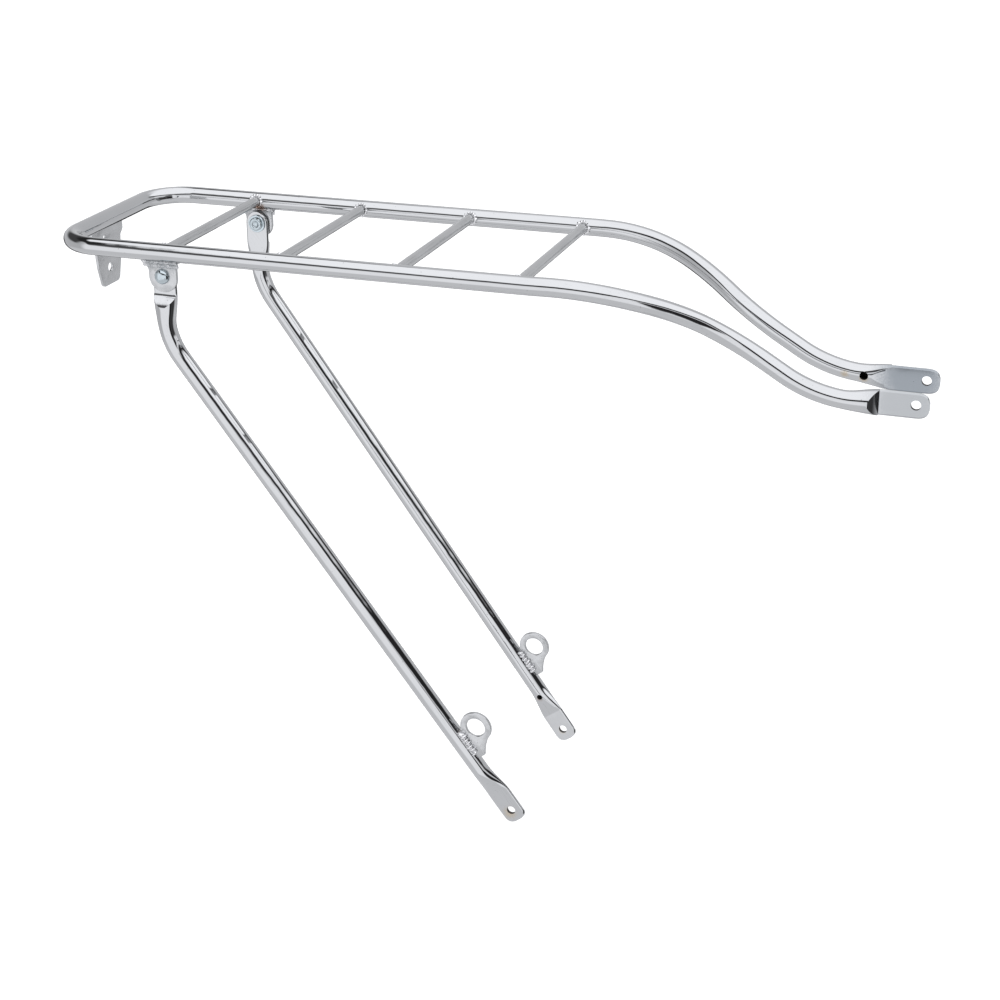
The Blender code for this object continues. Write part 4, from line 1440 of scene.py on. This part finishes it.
@dataclass
class Studio:
    """Pale floor, soft light and the camera."""

    floor_z: float = -0.335
    camera_at: tuple[float, float, float] = (0.13326, -1.16522, 0.41518)
    yaw: float = 0.343
    pitch: float = 0.402
    roll: float = -0.011
    lens: float = 69.35
    tint: Colour = (0.981, 0.988, 1.017)
    overhead: float = 1.5
    side_panel: float = 0.70
    table: float = 0.88
    table_edge: Point2 = (-33.0, -21.0)
    rear_wall: float = 0.73
    wall_top: Point2 = (34.0, 62.0)
    rear_run: Point2 = (136.0, 153.0)
    gap_height: float = 22.5
    gap_climb: float = 27.0
    climb_run: Point2 = (-18.0, -62.0)
    gap_light: float = 0.03
    gap_haze: float = 0.12
    haze_run: Edges = (-42.0, -36.0, -17.0, -9.0)
    gap_top: Point2 = (3.2, 8.5)
    gap_foot: Point2 = (-6.0, -14.0)
    gap_tighten: float = 2.9
    tighten_run: Point2 = (25.0, 50.0)
    panels: tuple[Card, ...] = (
        Card(1.28, (-58.0, -38.0, 38.0, 58.0), (-60.0, -50.0, 80.0, 90.0)),
        Card(0.08, (-190.0, -185.0, -78.0, -58.0), (8.0, 22.0, 80.0, 90.0)),
        Card(1.15, (50.0, 62.0, 108.0, 122.0), (4.0, 9.0, 80.0, 90.0)))
    flags: tuple[Card, ...] = (
        Card(0.03, (41.0, 46.0, 62.0, 78.0), (-38.0, -31.0, 12.0, 17.0)),
        Card(0.06, (62.0, 70.0, 90.0, 112.0), (-38.0, -30.0, 3.0, 9.0)),
        Card(0.05, (-190.0, -185.0, -130.0, -112.0), (-46.0, -36.0, -14.0, 0.0)))

    def build_floor(self) -> bpy.types.Object:
        """Build the floor, a wide round sheet."""
        bm = bmesh.new()
        bmesh.ops.create_circle(bm, cap_ends=True, segments=64, radius=9.0)
        for vertex in bm.verts:
            vertex.co.z = self.floor_z
        mesh = bpy.data.meshes.new("studio_floor")
        bm.to_mesh(mesh)
        bm.free()
        floor = bpy.data.objects.new("studio_floor", mesh)
        bpy.context.scene.collection.objects.link(floor)
        material = bpy.data.materials.new("studio_paper")
        material.use_nodes = True
        shader = material.node_tree.nodes["Principled BSDF"]
        shader.inputs["Base Color"].default_value = (0.5, 0.5, 0.5, 1.0)
        shader.inputs["Roughness"].default_value = 0.9
        shader.inputs["Emission Color"].default_value = (1.0, 1.0, 1.0, 1.0)
        shader.inputs["Emission Strength"].default_value = 0.68
        mesh.materials.append(material)
        floor.visible_glossy = False
        return floor

    def build_light(self) -> None:
        """Build the surround: a soft light overhead, a dim gap under it, pale panels lower down."""
        world = bpy.data.worlds.new("studio_surround")
        bpy.context.scene.world = world
        world.use_nodes = True
        maker = TreeMaker(world.node_tree)
        background = maker.tree.nodes["Background"]
        towards = maker.add("ShaderNodeTexCoord").outputs["Generated"]
        axes = maker.add("ShaderNodeSeparateXYZ", {"Vector": towards})
        height = maker.math("DEGREES", maker.math("ARCSINE", axes.outputs[2]))
        bearing = maker.math("DEGREES", maker.math(
            "ARCTAN2", axes.outputs[0], maker.math("MULTIPLY", axes.outputs[1], -1.0)))
        light = self.surround(maker, height, bearing)
        background.inputs["Color"].default_value = (*self.tint, 1.0)
        seen = maker.add("ShaderNodeLightPath").outputs["Is Camera Ray"]
        maker.link(maker.mixed(light, 1.0, seen), background.inputs["Strength"])
        view = bpy.context.scene.view_settings
        view.view_transform = "Standard"
        view.look = "None"

    def surround(self, maker: TreeMaker, height: bpy.types.NodeSocket,
                 bearing: bpy.types.NodeSocket) -> bpy.types.NodeSocket:
        """Brightness of the studio in each direction.

        Args:
            maker: Tree of the world.
            height: Degrees above the horizon.
            bearing: Degrees round from the front, positive to the rack's forward end.

        Returns:
            The brightness.
        """
        level: bpy.types.NodeSocket | float = self.side_panel
        for card in self.panels:
            level = card.laid_over(maker, level, bearing, height)
        low = maker.mixed(self.table, level, maker.smooth(height, *self.table_edge))
        climb = maker.smooth(bearing, *self.climb_run)
        middle = maker.mixed(self.gap_height, self.gap_height + self.gap_climb, climb)
        offset = maker.math("SUBTRACT", height, middle)
        gap = maker.mixed(self.gap_light, self.gap_haze, maker.window(bearing, self.haze_run))
        light = maker.mixed(gap, self.overhead, maker.smooth(offset, *self.gap_top))
        tighter = maker.mixed(1.0, self.gap_tighten, maker.smooth(bearing, *self.tighten_run))
        under = maker.smooth(maker.math("MULTIPLY", offset, tighter), *self.gap_foot)
        light = maker.mixed(light, low, under)
        rear = maker.mixed(self.rear_wall, self.overhead, maker.smooth(height, *self.wall_top))
        behind = maker.smooth(maker.math("ABSOLUTE", bearing), *self.rear_run)
        light = maker.mixed(light, rear, behind)
        for card in self.flags:
            light = card.laid_over(maker, light, bearing, height)
        return light

    def build_camera(self) -> bpy.types.Object:
        """Build the camera."""
        forward = Vector((-math.sin(self.yaw) * math.cos(self.pitch),
                          math.cos(self.yaw) * math.cos(self.pitch), -math.sin(self.pitch)))
        right = Vector((math.cos(self.yaw), math.sin(self.yaw), 0.0))
        up = right.cross(forward)
        c, s = math.cos(self.roll), math.sin(self.roll)
        across, rise = right * c + up * s, up * c - right * s
        data = bpy.data.cameras.new("camera")
        data.lens = self.lens
        data.sensor_width = 36.0
        camera = bpy.data.objects.new("camera", data)
        turn = Matrix((across, rise, -forward)).transposed().to_4x4()
        camera.matrix_world = Matrix.Translation(self.camera_at) @ turn
        bpy.context.scene.collection.objects.link(camera)
        bpy.context.scene.camera = camera
        return camera


def dress(piece: bpy.types.Object, body: str, slot: str, *nodes: str) -> None:
    """Hang a piece on its body in place of CAD nodes.

    Args:
        piece: The piece.
        body: Name of the body that it rides on.
        slot: Name of a material slot; not used.
        nodes: CAD nodes that it stands for.
    """
    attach(piece, body)
    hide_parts(*nodes)
    LOG.info("%s: %d faces on %s", piece.name, len(piece.data.polygons), body)


def both_sides(*stems: str) -> list[str]:
    """Node names of both sides for each stem."""
    return [f"{stem}_{side.word}" for stem in stems for side in Side]


def main() -> None:
    """Build the rack and its studio."""
    logging.basicConfig(level=logging.INFO, format="%(name)s: %(message)s")
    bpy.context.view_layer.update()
    tube_chrome, leg_chrome = TUBE_CHROME.material(), LEG_CHROME.material()
    rod_chrome, plate, weld = ROD_CHROME.material(), PLATE_CHROME.material(), WELD_CHROME.material()
    zinc, bare = RIVET_ZINC.material(), BARE_BORE.material()

    dress(CarrierTube().build(tube_chrome, bare), "carrier", "polished_chrome", "carrier_tube")
    rods = CrossRods()
    dress(rods.build(rod_chrome), "carrier", "polished_chrome_rod",
          *(f"cross_rod_{k}" for k in range(1, rods.count + 1)))
    dress(rods.build_welds(weld), "carrier", "plated_weld",
          *both_sides(*(f"rod_{k}_weld" for k in range(1, rods.count + 1))))
    bracket = LightBracket()
    dress(bracket.build(plate), "carrier", "satin_chrome_plate", "light_bracket")
    dress(bracket.build_welds(weld), "carrier", "plated_weld", *both_sides("bracket_weld"))
    pivots = PivotSet()
    dress(pivots.build_lugs(plate), "carrier", "satin_chrome_plate", *both_sides("pivot_lug"))
    dress(pivots.build_welds(weld), "carrier", "plated_weld",
          *both_sides("lug_weld_outer", "lug_weld_inner"))
    dress(pivots.build_rivets(zinc), "carrier", "zinc_rivet", *both_sides("pivot_rivet"))
    dress(pivots.build_washers(zinc), "carrier", "zinc_rivet", *both_sides("rivet_washer"))
    for side in Side:
        leg, body, word = Leg(side), f"{side.word}_leg", side.word
        dress(leg.build(leg_chrome, bare), body, "polished_chrome", f"leg_{word}")
        dress(leg.build_eyelet(plate), body, "satin_chrome_plate", f"ring_eyelet_{word}")
        dress(leg.build_welds(weld), body, "plated_weld", f"eyelet_weld_outer_{word}",
              f"eyelet_weld_inner_{word}")

    studio = Studio()
    studio.build_floor()
    studio.build_light()
    studio.build_camera()


if __name__ == "__main__":
    main()
